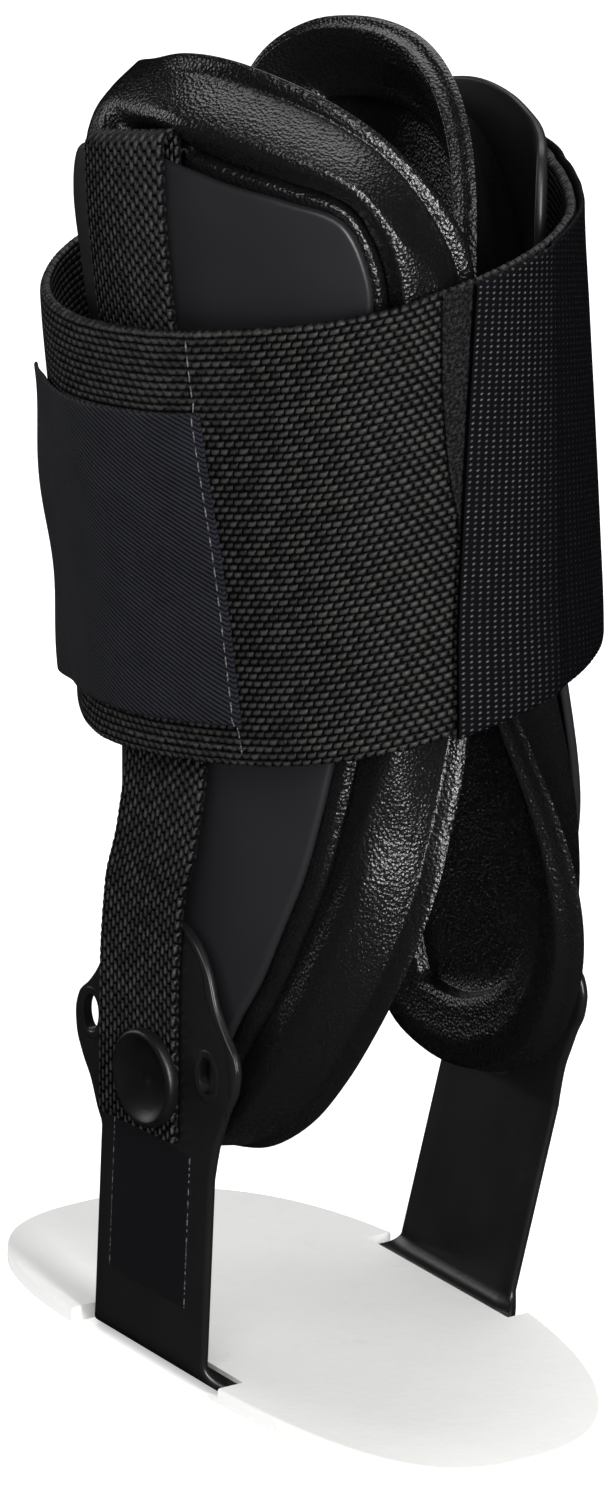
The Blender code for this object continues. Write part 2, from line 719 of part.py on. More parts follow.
def sticker_body(room=0.0):
    """The sticker, flush with the arm, or with room round it the pocket it lies in."""
    face = -STIRRUP_WIDTH / 2
    middle = -ARM_BACK - STICKER_BACK
    half = STICKER_WIDTH / 2 + room
    outer = face - (STIRRUP_THICK if room else 0.0)
    return box_body((middle - half, outer, STICKER_LOW - room),
                    (middle + half, face + STICKER_THICK + room, STICKER_HIGH + room))


def make_sticker(material):
    return add_object("arm_sticker", sticker_body(), material)


@functools.cache
def stack_grid():
    """Reach of the shells and webbing under the calf strap, by level and turn."""
    grid = np.zeros((STACK_LEVELS, STACK_TURNS))
    for side in (-1, 1):
        points = []
        for share in np.linspace(0, 1, 30):
            points += surface_ring(side, shrink(shell_outline(), share), 0.0)
        middle = -MEDIAL_WEBBING_BACK if side > 0 else 0.0
        for height in np.linspace(HINGE_HEIGHT + HEAD_RISE, SHELL_TOP, 60):
            for column in np.linspace(-0.5, 0.5, 9) * WEBBING_WIDTH + middle:
                points.append(upper_point(side, column, height, LAYER_GAP + WEBBING_THICK))
        for x, y, z in points:
            up = (z - strap_edge(x, y)) / strap_rise()
            if -0.1 < up < 1.1:
                level = min(max(round(up * (STACK_LEVELS - 1)), 0), STACK_LEVELS - 1)
                turn = round(math.atan2(y, x) / (2 * math.pi) * STACK_TURNS) % STACK_TURNS
                grid[level, turn] = max(grid[level, turn], math.hypot(x, y))
    near = [np.roll(grid, shift, axis=1) for shift in (-1, 0, 1)]
    near += [np.vstack([grid[1:], grid[-1:]]), np.vstack([grid[:1], grid[:-1]])]
    grid = np.max(near, axis=0)
    for _ in range(3):
        ahead, behind = np.roll(grid, -1, axis=1), np.roll(grid, 1, axis=1)
        grid = np.maximum(grid, (ahead + behind) / 2)
    return grid


def stack_reach(angle, up):
    grid = stack_grid()
    across = (angle / (2 * math.pi) % 1.0) * STACK_TURNS
    level = min(max(up, 0.0), 1.0) * (STACK_LEVELS - 1)
    i, j = int(across) % STACK_TURNS, min(int(level), STACK_LEVELS - 2)
    t, v = across - int(across), level - j
    k = (i + 1) % STACK_TURNS
    low = grid[j, i] * (1 - t) + grid[j, k] * t
    high = grid[j + 1, i] * (1 - t) + grid[j + 1, k] * t
    return low * (1 - v) + high * v


def strap_radius(angle, up):
    """Distance of the calf strap's outer face from the hinge's upright line. The
    loop follows its oval, and lies over the shells where they reach past it."""
    count = len(STRAP_LOOP)
    place = (angle / (2 * math.pi) % 1.0) * count
    i = int(place)
    t = place - i
    a, b, c, d = (Vector(STRAP_LOOP[(i + k - 1) % count]) for k in range(4))
    row = 0.5 * (2 * b + (c - a) * t + (2 * a - 5 * b + 4 * c - d) * t ** 2
                 + (3 * b - a - 3 * c + d) * t ** 3)
    oval = 1 / math.hypot(math.cos(angle) / STRAP_HALF_LENGTH,
                          math.sin(angle) / (STIRRUP_WIDTH / 2 + STRAP_ROOM))
    loop = (row[0] + (row[1] - row[0]) * up) * oval
    least = stack_reach(angle, up) + STRAP_THICK + 2 * GAP
    return (loop + least + math.hypot(loop - least, STRAP_THICK)) / 2


def strap_rise():
    """Upright height of the calf strap, which climbs to the toe along its sides."""
    return STRAP_HEIGHT * math.hypot(1.0, STRAP_TILT_FORE)


def strap_edge(x, y):
    """Height of the calf strap's lower edge over a point of the floor."""
    return STRAP_LOW + STRAP_TILT_FORE * x + STRAP_TILT_SIDE * y


def strap_point(angle, up, off):
    """Point on the calf strap's outer face. angle runs from the toe to the inner
    side, up is a share of its height, off is positive outwards."""
    step = 2 * math.pi / STRAP_TURNS
    spots = [Vector((math.cos(turn), math.sin(turn))) * strap_radius(turn, up)
             for turn in (angle - step, angle, angle + step)]
    run = spots[2] - spots[0]
    spot = spots[1] + Vector((run[1], -run[0])).normalized() * off
    return Vector((spot[0], spot[1], strap_edge(*spot) + strap_rise() * up))


def squeeze(point):
    """How far the calf strap presses a point of a pad's outer side inwards."""
    up = (point[2] - strap_edge(point[0], point[1])) / strap_rise()
    beyond = max(-up, up - 1.0, 0.0) * strap_rise() / SQUEEZE_BAND
    weight = 1.0 - ease(beyond - 1.0)
    flat = Vector((point[0], point[1]))
    room = strap_radius(math.atan2(point[1], point[0]), min(max(up, 0.0), 1.0))
    room -= STRAP_THICK + 3 * GAP
    if flat.length <= room:
        return Vector((0, 0, 0))
    push = flat.normalized() * (room - flat.length) * weight
    return Vector((push[0], push[1], 0))


def strap_piece(first, last, low, high, base, thickness, over=None):
    """Stretch of a band round the leg, between two turns and two heights, with its
    inner face at an offset from the calf strap's outer face. Every layer has its
    corners on the same turns and levels, so that layers lie flat on each other.
    over names the last turn of a layer beneath, and that layer's thickness."""
    whole = last - first == STRAP_TURNS
    levels = [level for level in np.linspace(0, 1, STACK_LEVELS)
              if low + LEVEL_ROOM < level < high - LEVEL_ROOM]
    heights = [low, *levels, high]
    rings = []
    for turn in range(first, last if whole else last + 1):
        angle = 2 * math.pi * turn / STRAP_TURNS
        inner = base
        if over:
            inner += over[1] * (1 - ease((turn - over[0] - 1) / 2))
        ring = [strap_point(angle, up, inner + thickness) for up in heights]
        ring += [strap_point(angle, up, inner) for up in reversed(heights)]
        rings.append(ring)
    return rings_body(rings, closed=whole)


def make_calf_strap(materials):
    add_object("calf_strap", strap_piece(0, STRAP_TURNS, 0, 1, -STRAP_THICK, STRAP_THICK),
               materials["weave"])
    add_object("closure_lining",
               strap_piece(*LINING_TURNS, LINING_LOW, 1, LAYER_GAP, LINING_THICK),
               materials["loop_pile"])
    over = (LINING_TURNS[1], LINING_THICK + LAYER_GAP)
    add_object("closure_tab", strap_piece(*TAB_TURNS, 0, 1, LAYER_GAP, TAB_THICK, over),
               materials["hook_tape"])
    add_object("woven_label",
               strap_piece(*LABEL_TURNS, LABEL_LOW, LABEL_HIGH, LAYER_GAP, LABEL_THICK),
               materials["satin"])


def main():
    clear_scene()
    materials = {
        "stirrup_plastic": make_material("stirrup_plastic", (0.018, 0.018, 0.02), 0.32),
        "shell_plastic": make_material("shell_plastic", (0.035, 0.036, 0.04), 0.42),
        "foam": make_material("foam", (0.012, 0.012, 0.012), 0.36),
        "sole_foam": make_material("sole_foam", (0.85, 0.85, 0.84), 0.7),
        "weave": make_material("weave", (0.02, 0.02, 0.021), 0.75),
        "hook_tape": make_material("hook_tape", (0.012, 0.012, 0.016), 0.65),
        "loop_pile": make_material("loop_pile", (0.016, 0.016, 0.018), 0.9),
        "satin": make_material("satin", (0.01, 0.011, 0.022), 0.4),
        "rivet_plastic": make_material("rivet_plastic", (0.012, 0.012, 0.013), 0.4),
        "sticker": make_material("sticker", (0.008, 0.008, 0.01), 0.2),
    }
    make_stirrup(materials["stirrup_plastic"])
    make_foot_pad(materials["sole_foam"])
    make_sticker(materials["sticker"])
    for side in (-1, 1):
        make_shell(side, materials["shell_plastic"])
        make_foam(side, materials["foam"])
        make_webbing(side, materials["weave"])
        make_rivet(side, materials["rivet_plastic"])
    make_calf_strap(materials)


main()
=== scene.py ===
"""Looks of the stirrup ankle brace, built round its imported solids.

Metres, +Z up. +X points to the toe, -Y to the outer side of the leg. Cloth carries a
UV map in millimetres: along the cloth, and across it.
"""
import functools
import math

import bmesh
import bpy
import numpy as np
from mathutils import Matrix, Vector


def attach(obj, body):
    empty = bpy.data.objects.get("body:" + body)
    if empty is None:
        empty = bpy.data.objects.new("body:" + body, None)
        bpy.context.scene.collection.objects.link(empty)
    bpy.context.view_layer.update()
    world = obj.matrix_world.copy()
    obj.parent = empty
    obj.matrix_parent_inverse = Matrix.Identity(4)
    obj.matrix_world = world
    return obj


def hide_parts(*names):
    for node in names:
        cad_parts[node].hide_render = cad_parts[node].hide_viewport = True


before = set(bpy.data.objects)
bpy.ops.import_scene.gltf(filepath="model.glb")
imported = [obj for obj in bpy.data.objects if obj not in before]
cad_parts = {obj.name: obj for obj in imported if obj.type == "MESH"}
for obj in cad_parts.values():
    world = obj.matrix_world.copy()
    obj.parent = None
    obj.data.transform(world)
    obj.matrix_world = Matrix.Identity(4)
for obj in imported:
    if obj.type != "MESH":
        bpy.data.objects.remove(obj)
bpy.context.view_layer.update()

MM = 0.001

# Clearances
GAP = 0.3 * MM
FOAM_GAP = 0.8 * MM
RUNNING_GAP = 0.5 * MM
LAYER_GAP = 0.4 * MM

# Stirrup
STIRRUP_WIDTH = 78.0 * MM
STIRRUP_THICK = 2.0 * MM
ARM_BREADTH = 37.6 * MM
ARM_BACK = 1.0 * MM
BASE_BREADTH = 47.0 * MM
BEND_RADIUS = 5.0 * MM
HEAD_HALF_BREADTH = 28.0 * MM
HEAD_RISE = 33.5 * MM
HINGE_HEIGHT = 62.0 * MM
MEDIAL_LEAN = 8.5 * MM
NECK_LOW = 0.72
EYELET_HEIGHT = 7.6 * MM
EYELET_WIDTH = 5.2 * MM
EYELET_REACH = 19.8 * MM
HEAD_BACK = 4.5 * MM
EYELET_RISE = 5.0 * MM
EDGE_ROUND = 0.9 * MM

# Sole
PAD_LENGTH = 152.0 * MM
PAD_WIDTH = 79.0 * MM
PAD_THICK = 3.3 * MM
PAD_FORWARD = 5.5 * MM
PAD_TAPER = 0.093
PAD_BOW = 6.0 * MM
PAD_SQUARENESS = 2.65
PAD_ROUND = 0.5 * MM

# Rivets
SHANK_RADIUS = 3.0 * MM
CAP_RADIUS = 10.0 * MM
CAP_HEIGHT = 2.6 * MM
FLANGE_RADIUS = 6.5 * MM
FLANGE_THICK = 1.0 * MM

# Shells
SHELL_THICK = 2.0 * MM
SHELL_BOTTOM = 46.0 * MM
SHELL_TOP = 251.0 * MM
SHELL_REACH = 56.0 * MM
TILTS = {-1: math.radians(-3.4), 1: math.radians(-7.2)}
FLARES = {-1: 11.0 * MM, 1: 1.5 * MM}
FLAT_CURVE = 5.5
CALF_CURVE = 13.7
CURVE_START = 75.0 * MM
CURVE_END = 170.0 * MM

# Moulded pads
FOAM_THICK = 11.0 * MM
FOAM_BOTTOM = 48.0 * MM
FOAM_TOP = 269.0 * MM
FOAM_REACH = 77.0 * MM
ROLL_DEPTH = 5.0 * MM
ROLL_CURL = 5.5 * MM
FIELD_INSET = 17.0 * MM

# Share of the way from the middle to the edge, for the rings of the flat parts.
SHELL_SHARES = (0.03, 0.15, 0.3, 0.45, 0.6, 0.75, 0.87, 0.95)
PAD_SHARES = (0.03, 0.12, 0.22, 0.32, 0.42, 0.52, 0.62, 0.72, 0.80, 0.87, 0.93, 0.97)

# Narrow webbing
WEBBING_WIDTH = 25.4 * MM
WEBBING_THICK = 1.8 * MM
WEBBING_LOW = 50.0 * MM
FOLD_RISE = 3.5 * MM
FOLD_SLOPE = 0.2
TUCK_LENGTH = 34.0 * MM
MEDIAL_WEBBING_BACK = 4.0 * MM
MEDIAL_WEBBING_SHORT = 36.0 * MM
HEAD_CLEAR = 2.0 * MM           # the webbing stays flat this far over the head
HEAD_LEAVE = 46.0 * MM          # and comes down to the shell over this much
FLOAT_RELIEF = 0.16 * MM
JOG_DEPTH = 0.14 * MM           # waves of its two selvages
JOG_REACH = 1.5 * MM
JOG_PITCH = 1.65 * MM

# Calf strap
STRAP_HEIGHT = 88.9 * MM
STRAP_THICK = 2.2 * MM
STRAP_LOW = 139.2 * MM
STRAP_TILT_FORE = 0.142
STRAP_TILT_SIDE = 0.219
STRAP_RISE = STRAP_HEIGHT * math.hypot(1.0, STRAP_TILT_FORE)
SQUEEZE_BAND = 14.0 * MM
TAB_THICK = 1.2 * MM
LINING_THICK = 0.8 * MM
LABEL_THICK = 0.8 * MM
RIPPLE_REACH = 1.2 * MM         # waves of the bands' edges
RIPPLE_PITCH = 1.5 * MM
STRAP_TURNS = 60
STRAP_LEVELS = 5

# Sticker
STICKER_WIDTH = 26.0 * MM
STICKER_BACK = 0.8 * MM
STICKER_LOW = 16.2 * MM
STICKER_HIGH = 48.5 * MM
STICKER_THICK = 0.3 * MM

# Half breadths of the stirrup. Columns: height over the hinge (share of HEAD_RISE),
# rear, front (shares of HEAD_HALF_BREADTH).
HEAD_ROWS = (
    (1.00, 0.06, 0.05), (0.985, 0.22, 0.17), (0.95, 0.36, 0.29), (0.90, 0.46, 0.38),
    (0.77, 0.62, 0.51), (0.59, 0.74, 0.61), (0.44, 0.83, 0.75), (0.33, 0.93, 0.87),
    (0.24, 1.04, 0.90), (0.12, 1.08, 0.88), (0.00, 1.06, 0.81),
)
# The same below the hinge. Columns: depth (share of HINGE_HEIGHT), rear, front.
NECK_ROWS = ((0.08, 0.97, 0.74), (0.14, 0.87, 0.69), (0.23, 0.77, 0.65))

# How far the shells stand out. Columns: height (share of FOAM_TOP), lateral, medial
# (shares of the side's flare).
FLARE_ROWS = (
    (0.00, 0.00, 0.00), (0.395, 0.00, 0.00), (0.53, 0.05, -1.20),
    (0.715, 0.42, -1.90), (0.90, 0.97, -0.60), (1.10, 1.10, 0.40),
)

# Outlines on the unrolled surface. Columns: along (share of the reach), up (share of
# the height).
SHELL_OUTLINE = (
    (0.00, 0.000), (0.18, 0.054), (0.30, 0.127), (0.45, 0.190), (0.56, 0.254),
    (0.66, 0.322), (0.75, 0.430), (0.86, 0.595), (0.945, 0.776), (0.99, 0.888),
    (0.965, 0.941), (0.84, 0.968), (0.54, 0.981), (0.09, 0.998), (-0.25, 0.986),
    (-0.44, 0.968), (-0.48, 0.927), (-0.45, 0.824), (-0.41, 0.630), (-0.365, 0.380),
    (-0.34, 0.260), (-0.25, 0.083), (-0.14, 0.015),
)
LATERAL_OUTLINE = (
    (0.09, 0.000), (0.23, 0.004), (0.435, 0.045), (0.635, 0.133), (0.79, 0.250),
    (0.88, 0.416), (0.96, 0.630), (1.00, 0.800), (0.97, 0.862), (0.85, 0.912),
    (0.635, 0.964), (0.30, 0.995), (0.00, 0.993), (-0.18, 0.977), (-0.40, 0.955),
    (-0.56, 0.905), (-0.60, 0.815), (-0.56, 0.630), (-0.49, 0.434), (-0.415, 0.222),
    (-0.30, 0.063), (-0.12, 0.010),
)
MEDIAL_OUTLINE = (
    (0.05, 0.005), (0.22, 0.018), (0.39, 0.045), (0.57, 0.104), (0.695, 0.190),
    (0.76, 0.317), (0.76, 0.460), (0.72, 0.620), (0.65, 0.740), (0.59, 0.810),
    (0.46, 0.870), (0.31, 0.914), (0.14, 0.946), (-0.04, 0.964), (-0.26, 0.970),
    (-0.49, 0.957), (-0.66, 0.914), (-0.73, 0.833), (-0.68, 0.643), (-0.56, 0.434),
    (-0.44, 0.222), (-0.31, 0.054), (-0.13, 0.011),
)
OUTLINE_POINTS = 40
OUTLINE_DETAIL = 6              # finer points between two of those

# Outer skin of the pads' border. Columns: way out (share, from the shell's outline to
# the pad's), depth inside the shell's inner face (share of the roll's depth).
BORDER_ROWS = (
    (0.00, 0.00), (0.07, 0.02), (0.11, 0.10), (0.135, 0.20), (0.155, 0.20), (0.18, 0.09),
    (0.22, 0.02), (0.30, -0.10), (0.40, -0.20), (0.48, -0.18), (0.56, -0.02), (0.65, 0.24),
    (0.74, 0.56), (0.80, 0.78), (0.822, 0.90), (0.84, 0.92), (0.88, 0.93), (0.94, 0.96),
    (0.975, 1.00), (1.00, 1.06),
)
# The same for the inner pad, whose border leaves the shell sooner.
MEDIAL_BORDER_ROWS = (
    (0.00, 0.00), (0.06, 0.03), (0.15, 0.16), (0.30, 0.42), (0.50, 0.68), (0.72, 0.86),
    (0.86, 0.95), (1.00, 1.02),
)
# Curl of the leg's side of the border, and thickness of the pads over it. Columns: way
# out (share), curl (share of the roll's depth); way out, thickness (of FOAM_THICK).
CURL_ROWS = ((0.00, 0.00), (0.20, 0.03), (0.45, 0.18), (0.72, 0.53), (1.00, 1.02))
WALL_ROWS = (
    (0.00, 0.74), (0.012, 0.755), (0.045, 0.93), (0.075, 0.98), (0.20, 1.02), (0.50, 0.99),
    (0.76, 0.78), (0.84, 0.67), (0.885, 0.60), (0.905, 0.55), (0.93, 0.36), (0.97, 0.20),
    (0.99, 0.12), (1.00, 0.00),
)

# Floats of the two weaves and loops of the hook tape, in mm.
STRAP_FLOAT, STRAP_ROW = 2.05, 1.5
WEBBING_FLOAT, WEBBING_COLUMN = 2.5, 1.27
HOOK_PITCH, HOOK_COLUMN = 1.15, 1.7

# Profile of a rivet's cap. Columns: radius (share of CAP_RADIUS), height (share of
# CAP_HEIGHT).
CAP_ROWS = (
    (0.02, 0.26), (0.08, 0.27), (0.11, 0.31), (0.20, 0.33), (0.45, 0.40), (0.62, 0.52),
    (0.72, 0.64), (0.80, 0.82), (0.86, 0.96), (0.90, 1.00), (0.945, 0.97), (0.98, 0.86),
    (1.00, 0.66), (1.00, 0.30), (0.985, 0.08), (0.95, 0.00),
)

# Middle line of the narrow webbing. Columns: height (share of FOAM_TOP), shift (share
# of WEBBING_WIDTH, forward).
WEBBING_ROWS = (
    (0.18, -0.22), (0.30, -0.21), (0.365, -0.15), (0.41, -0.03), (0.48, 0.03), (0.80, 0.0),
)

# Raised lip on the front edge of the outer head. Columns: height (share of
# HEAD_RISE), thickness (share of the lip's).
LIP_ROWS = ((-0.05, 0.0), (0.10, 0.55), (0.28, 1.0), (0.42, 0.6), (0.62, 1.0), (0.80, 0.75),
            (0.93, 0.9), (1.00, 0.0))
LIP_THICK = 0.46 * MM
LIP_SPREAD = 3.0                # half breadth of the lip, as a share of its thickness
LIP_SINK = 0.4 * MM
LIP_ROOT = 0.2 * MM

# Raised rims of the eyelets
RIM_REACH = 1.0 * MM
RIM_BREADTH = 0.95 * MM
RIM_RISE = 0.36 * MM
RIM_SINK = 0.1 * MM

# Places on the calf strap. Columns: share of its height, angle from the toe round by
# the inner side, in degrees.
TAB_EDGE_ROWS = ((0.00, -11.6), (0.25, -12.2), (0.60, -11.6), (1.00, -10.2))
LINING_EDGE_ROWS = ((0.45, -11.8), (0.60, -14.5), (0.80, -16.6), (1.00, -17.4))
LABEL_FRONT_ROWS = ((0.00, 303.0), (0.10, 301.0), (0.45, 295.0), (0.82, 288.5), (1.00, 286.0))
TAB_END = 126.0
LINING_END = 12.0
LABEL_REAR = 223.0
LABEL_LOW = 0.10
LABEL_HIGH = 0.82
LINING_LOW = 0.45
LABEL_STAND = 2.3 * MM          # of the label's rear edge off the strap
LABEL_WAVE = 0.35 * MM

# Stitches
STITCH_SPACING = 3.0 * MM
STITCH_LENGTH = 2.3 * MM

# Camera and stage
CAMERA_AZIMUTH = math.radians(53.536)
CAMERA_ELEVATION = math.radians(19.823)
CAMERA_ROLL = math.radians(2.474)
CAMERA_DISTANCE = 2.0
CAMERA_TARGET = Vector((35.25, -32.94, 140.0)) * MM
CAMERA_LENS = 250.07            # mm, on a sensor 36 mm along the picture's long side
FLOOR_DROP = 0.2 * MM
FLOOR_HALF = 6.0
WORLD_LIGHT = 0.45

# Lights. Columns: place across, up and towards the camera and size, in metres, and
# power in watts.
LIGHTS = {
    "key": (-0.1, 0.8, 1.3, (0.6, 0.6), 6.0),
    "streak": (0.62, 0.05, 1.2, (0.14, 0.9), 19.0),
    "crown": (0.15, 1.35, -0.4, (1.2, 1.0), 8.0),
    "rim": (-1.1, 0.5, -0.5, (0.4, 0.7), 2.5),
}


def ease(value):
    value = np.clip(value, 0.0, 1.0)
    return value * value * (3.0 - 2.0 * value)


def read_rows(rows, place, column=1):
    """Smooth reading of a table: no overshoot, flat where two rows agree."""
    table = np.array(sorted(rows))
    xs, ys = table[:, 0], table[:, column]
    steps = np.diff(ys) / np.diff(xs)
    slopes = np.zeros(len(xs))
    product = steps[:-1] * steps[1:]
    total = np.where(product > 0, steps[:-1] + steps[1:], 1.0)
    slopes[1:-1] = np.where(product > 0, 2 * product / total, 0.0)
    slopes[-1] = steps[-1]
    place = np.clip(np.asarray(place, float), xs[0], xs[-1])
    i = np.clip(np.searchsorted(xs, place, side="right") - 1, 0, len(xs) - 2)
    width = xs[i + 1] - xs[i]
    t = (place - xs[i]) / width
    return ((1 + 2 * t) * (1 - t) ** 2 * ys[i] + t * (1 - t) ** 2 * width * slopes[i]
            + t * t * (3 - 2 * t) * ys[i + 1] - t * t * (1 - t) * width * slopes[i + 1])


def spline_weights(t):
    return (0.5 * (-t + 2 * t ** 2 - t ** 3), 0.5 * (2 - 5 * t ** 2 + 3 * t ** 3),
            0.5 * (t + 4 * t ** 2 - 3 * t ** 3), 0.5 * (t ** 3 - t ** 2))


def refine(points, detail):
    """Finer points on the smooth closed curve through a few."""
    points = np.asarray(points, float)
    count = len(points)
    found = []
    for i in range(count):
        for t in np.arange(detail) / detail:
            weights = spline_weights(t)
            found.append(sum(weights[k] * points[(i + k - 1) % count] for k in range(4)))
    return np.array(found)


def closed_curve(points, count):
    """Points at even spacing on a smooth closed curve through a few points."""
    dense = refine(points, 12)
    dense = np.vstack([dense, dense[:1]])
    along = np.concatenate([[0], np.cumsum(np.linalg.norm(np.diff(dense, axis=0), axis=1))])
    places = np.linspace(0, along[-1], count, endpoint=False)
    return np.stack([np.interp(places, along, dense[:, k]) for k in range(2)], axis=1)


def side_lean(side):
    return MEDIAL_LEAN if side > 0 else 0.0


def side_name(side):
    return "medial" if side > 0 else "lateral"


def shell_face(side):
    return STIRRUP_WIDTH / 2 - STIRRUP_THICK - RUNNING_GAP + side_lean(side)


def calf_share(height):
    return ease((height - CURVE_START) / (CURVE_END - CURVE_START))


def upper_points(side, along, height, off):
    """Points on a shell's outer face, or off it: positive is away from the leg."""
    along, height, off = np.broadcast_arrays(along, height, off)
    flare = FLARES[side] * read_rows(FLARE_ROWS, height / FOAM_TOP, 2 if side > 0 else 1)
    curve = FLAT_CURVE + (CALF_CURVE - FLAT_CURVE) * calf_share(height)
    angle = curve * along
    x = np.sin(angle) / curve + off * np.sin(angle)
    y = shell_face(side) + flare - (1 - np.cos(angle)) / curve + off * np.cos(angle)
    tilt = TILTS[side]
    rise = height - HINGE_HEIGHT
    return np.stack([x * math.cos(tilt) + rise * math.sin(tilt), side * y,
                     HINGE_HEIGHT - x * math.sin(tilt) + rise * math.cos(tilt)], axis=-1)


def shell_outline():
    height = SHELL_TOP - SHELL_BOTTOM
    rows = [(u * SHELL_REACH, SHELL_BOTTOM + v * height) for u, v in SHELL_OUTLINE]
    return closed_curve(rows, OUTLINE_POINTS)


def foam_outline(side):
    height = FOAM_TOP - FOAM_BOTTOM
    table = MEDIAL_OUTLINE if side > 0 else LATERAL_OUTLINE
    return closed_curve([(u * FOAM_REACH, FOAM_BOTTOM + v * height) for u, v in table],
                        OUTLINE_POINTS)


def shrink(outline, share):
    middle = outline.mean(axis=0)
    return middle + (outline - middle) * share


def inset(outline, width):
    """The outline, moved in by a width."""
    run = np.roll(outline, -1, axis=0) - np.roll(outline, 1, axis=0)
    normal = np.stack([-run[:, 1], run[:, 0]], axis=1)
    normal /= np.linalg.norm(normal, axis=1)[:, None]
    turned = np.sum((outline.mean(axis=0) - outline) * normal) > 0
    return outline + normal * (width if turned else -width)


def match_start(inner, outer):
    best = min(range(len(outer)),
               key=lambda k: np.sum((np.roll(outer, -k, axis=0) - inner) ** 2))
    return np.roll(outer, -best, axis=0)


# Meshes

def finish_piece(name, mesh, material, smooth_angle=50.0):
    """Object of a mesh, with its faces pointing out."""
    bm = bmesh.new()
    bm.from_mesh(mesh)
    if bm.calc_volume(signed=True) < 0:
        bmesh.ops.reverse_faces(bm, faces=bm.faces)
    bm.to_mesh(mesh)
    bm.free()
    mesh.shade_smooth()
    mesh.set_sharp_from_angle(angle=math.radians(smooth_angle))
    if material:
        mesh.materials.append(material)
    thing = bpy.data.objects.new(name, mesh)
    bpy.context.scene.collection.objects.link(thing)
    return thing


def lofted(name, rings, material, uv=None, closed=False, smooth_angle=50.0):
    """Closed body through rings of equally many points. uv, where given, has a row for
    each ring (and one more if the body is closed) and a place more than a ring has."""
    rings = np.asarray(rings, float)
    count, around = rings.shape[:2]
    faces, corners = [], []
    for i in range(count if closed else count - 1):
        k = (i + 1) % count
        for j in range(around):
            n = (j + 1) % around
            faces.append((i * around + j, i * around + n, k * around + n, k * around + j))
            if uv is not None:
                corners += [uv[i][j], uv[i][j + 1], uv[i + 1][j + 1], uv[i + 1][j]]
    if not closed:
        faces.append(tuple(reversed(range(around))))
        faces.append(tuple(range((count - 1) * around, count * around)))
        if uv is not None:
            corners += list(reversed(uv[0][:around])) + list(uv[count - 1][:around])
    mesh = bpy.data.meshes.new(name)
    mesh.from_pydata(rings.reshape(-1, 3).tolist(), [], faces)
    if uv is not None:
        layer = mesh.uv_layers.new(name="cloth")
        layer.data.foreach_set("uv", np.array(corners, np.float32).ravel())
    return finish_piece(name, mesh, material, smooth_angle)


def cut(thing, cutter):
    """Cut a closed body out of a piece."""
    modifier = thing.modifiers.new("cut", "BOOLEAN")
    modifier.operation = "DIFFERENCE"
    modifier.solver = "EXACT"
    modifier.object = cutter
    settle(thing)
    bpy.data.objects.remove(cutter, do_unlink=True)


def settle(thing):
    """Make a piece's modifiers final."""
    bpy.context.view_layer.update()
    graph = bpy.context.evaluated_depsgraph_get()
    mesh = bpy.data.meshes.new_from_object(thing.evaluated_get(graph))
    thing.modifiers.clear()
    thing.data = mesh


def box_piece(name, low, high, material=None):
    bm = bmesh.new()
    bmesh.ops.create_cube(bm, size=1.0)
    low, high = Vector(low), Vector(high)
    for vert in bm.verts:
        vert.co = Vector(low[k] + (vert.co[k] + 0.5) * (high[k] - low[k]) for k in range(3))
    mesh = bpy.data.meshes.new(name)
    bm.to_mesh(mesh)
    bm.free()
    return finish_piece(name, mesh, material)


def turned(name, profile, side, material, sides=72):
    """Body turned round the hinge axis. The profile holds (radius, y) rows."""
    angles = np.linspace(0, 2 * math.pi, sides, endpoint=False)
    rings = [np.stack([radius * np.cos(angles), np.full(sides, side * y),
                       HINGE_HEIGHT + radius * np.sin(angles)], axis=1)
             for radius, y in profile]
    return lofted(name, rings, material, smooth_angle=35.0)


# Shader maths

class Value:
    """A shader socket in a sum."""

    def __init__(self, tree, socket):
        self.tree = tree
        self.socket = socket

    def math(self, operation, *values):
        node = self.tree.nodes.new("ShaderNodeMath")
        node.operation = operation
        for place, value in zip(node.inputs, values):
            if isinstance(value, Value):
                self.tree.links.new(value.socket, place)
            else:
                place.default_value = value
        return Value(self.tree, node.outputs[0])

    def __add__(self, other):
        return self.math("ADD", self, other)

    def __radd__(self, other):
        return self.math("ADD", other, self)

    def __sub__(self, other):
        return self.math("SUBTRACT", self, other)

    def __rsub__(self, other):
        return self.math("SUBTRACT", other, self)

    def __mul__(self, other):
        return self.math("MULTIPLY", self, other)

    def __rmul__(self, other):
        return self.math("MULTIPLY", other, self)

    def __truediv__(self, other):
        return self.math("DIVIDE", self, other)

    def __pow__(self, other):
        return self.math("POWER", self, other)

    def __mod__(self, other):
        return self.math("FLOORED_MODULO", self, other)

    def floor(self):
        return self.math("FLOOR", self)

    def part(self):
        return self.math("FRACT", self)

    def wave(self):
        """0 at both ends of each unit, 1 in its middle."""
        return self.math("ABSOLUTE", self.math("SINE", self * math.pi))

    def above(self, low, high):
        """0 under low, 1 over high, and smooth between."""
        node = self.tree.nodes.new("ShaderNodeMapRange")
        node.interpolation_type = "SMOOTHSTEP"
        self.tree.links.new(self.socket, node.inputs["Value"])
        node.inputs["From Min"].default_value = low
        node.inputs["From Max"].default_value = high
        return Value(self.tree, node.outputs["Result"])


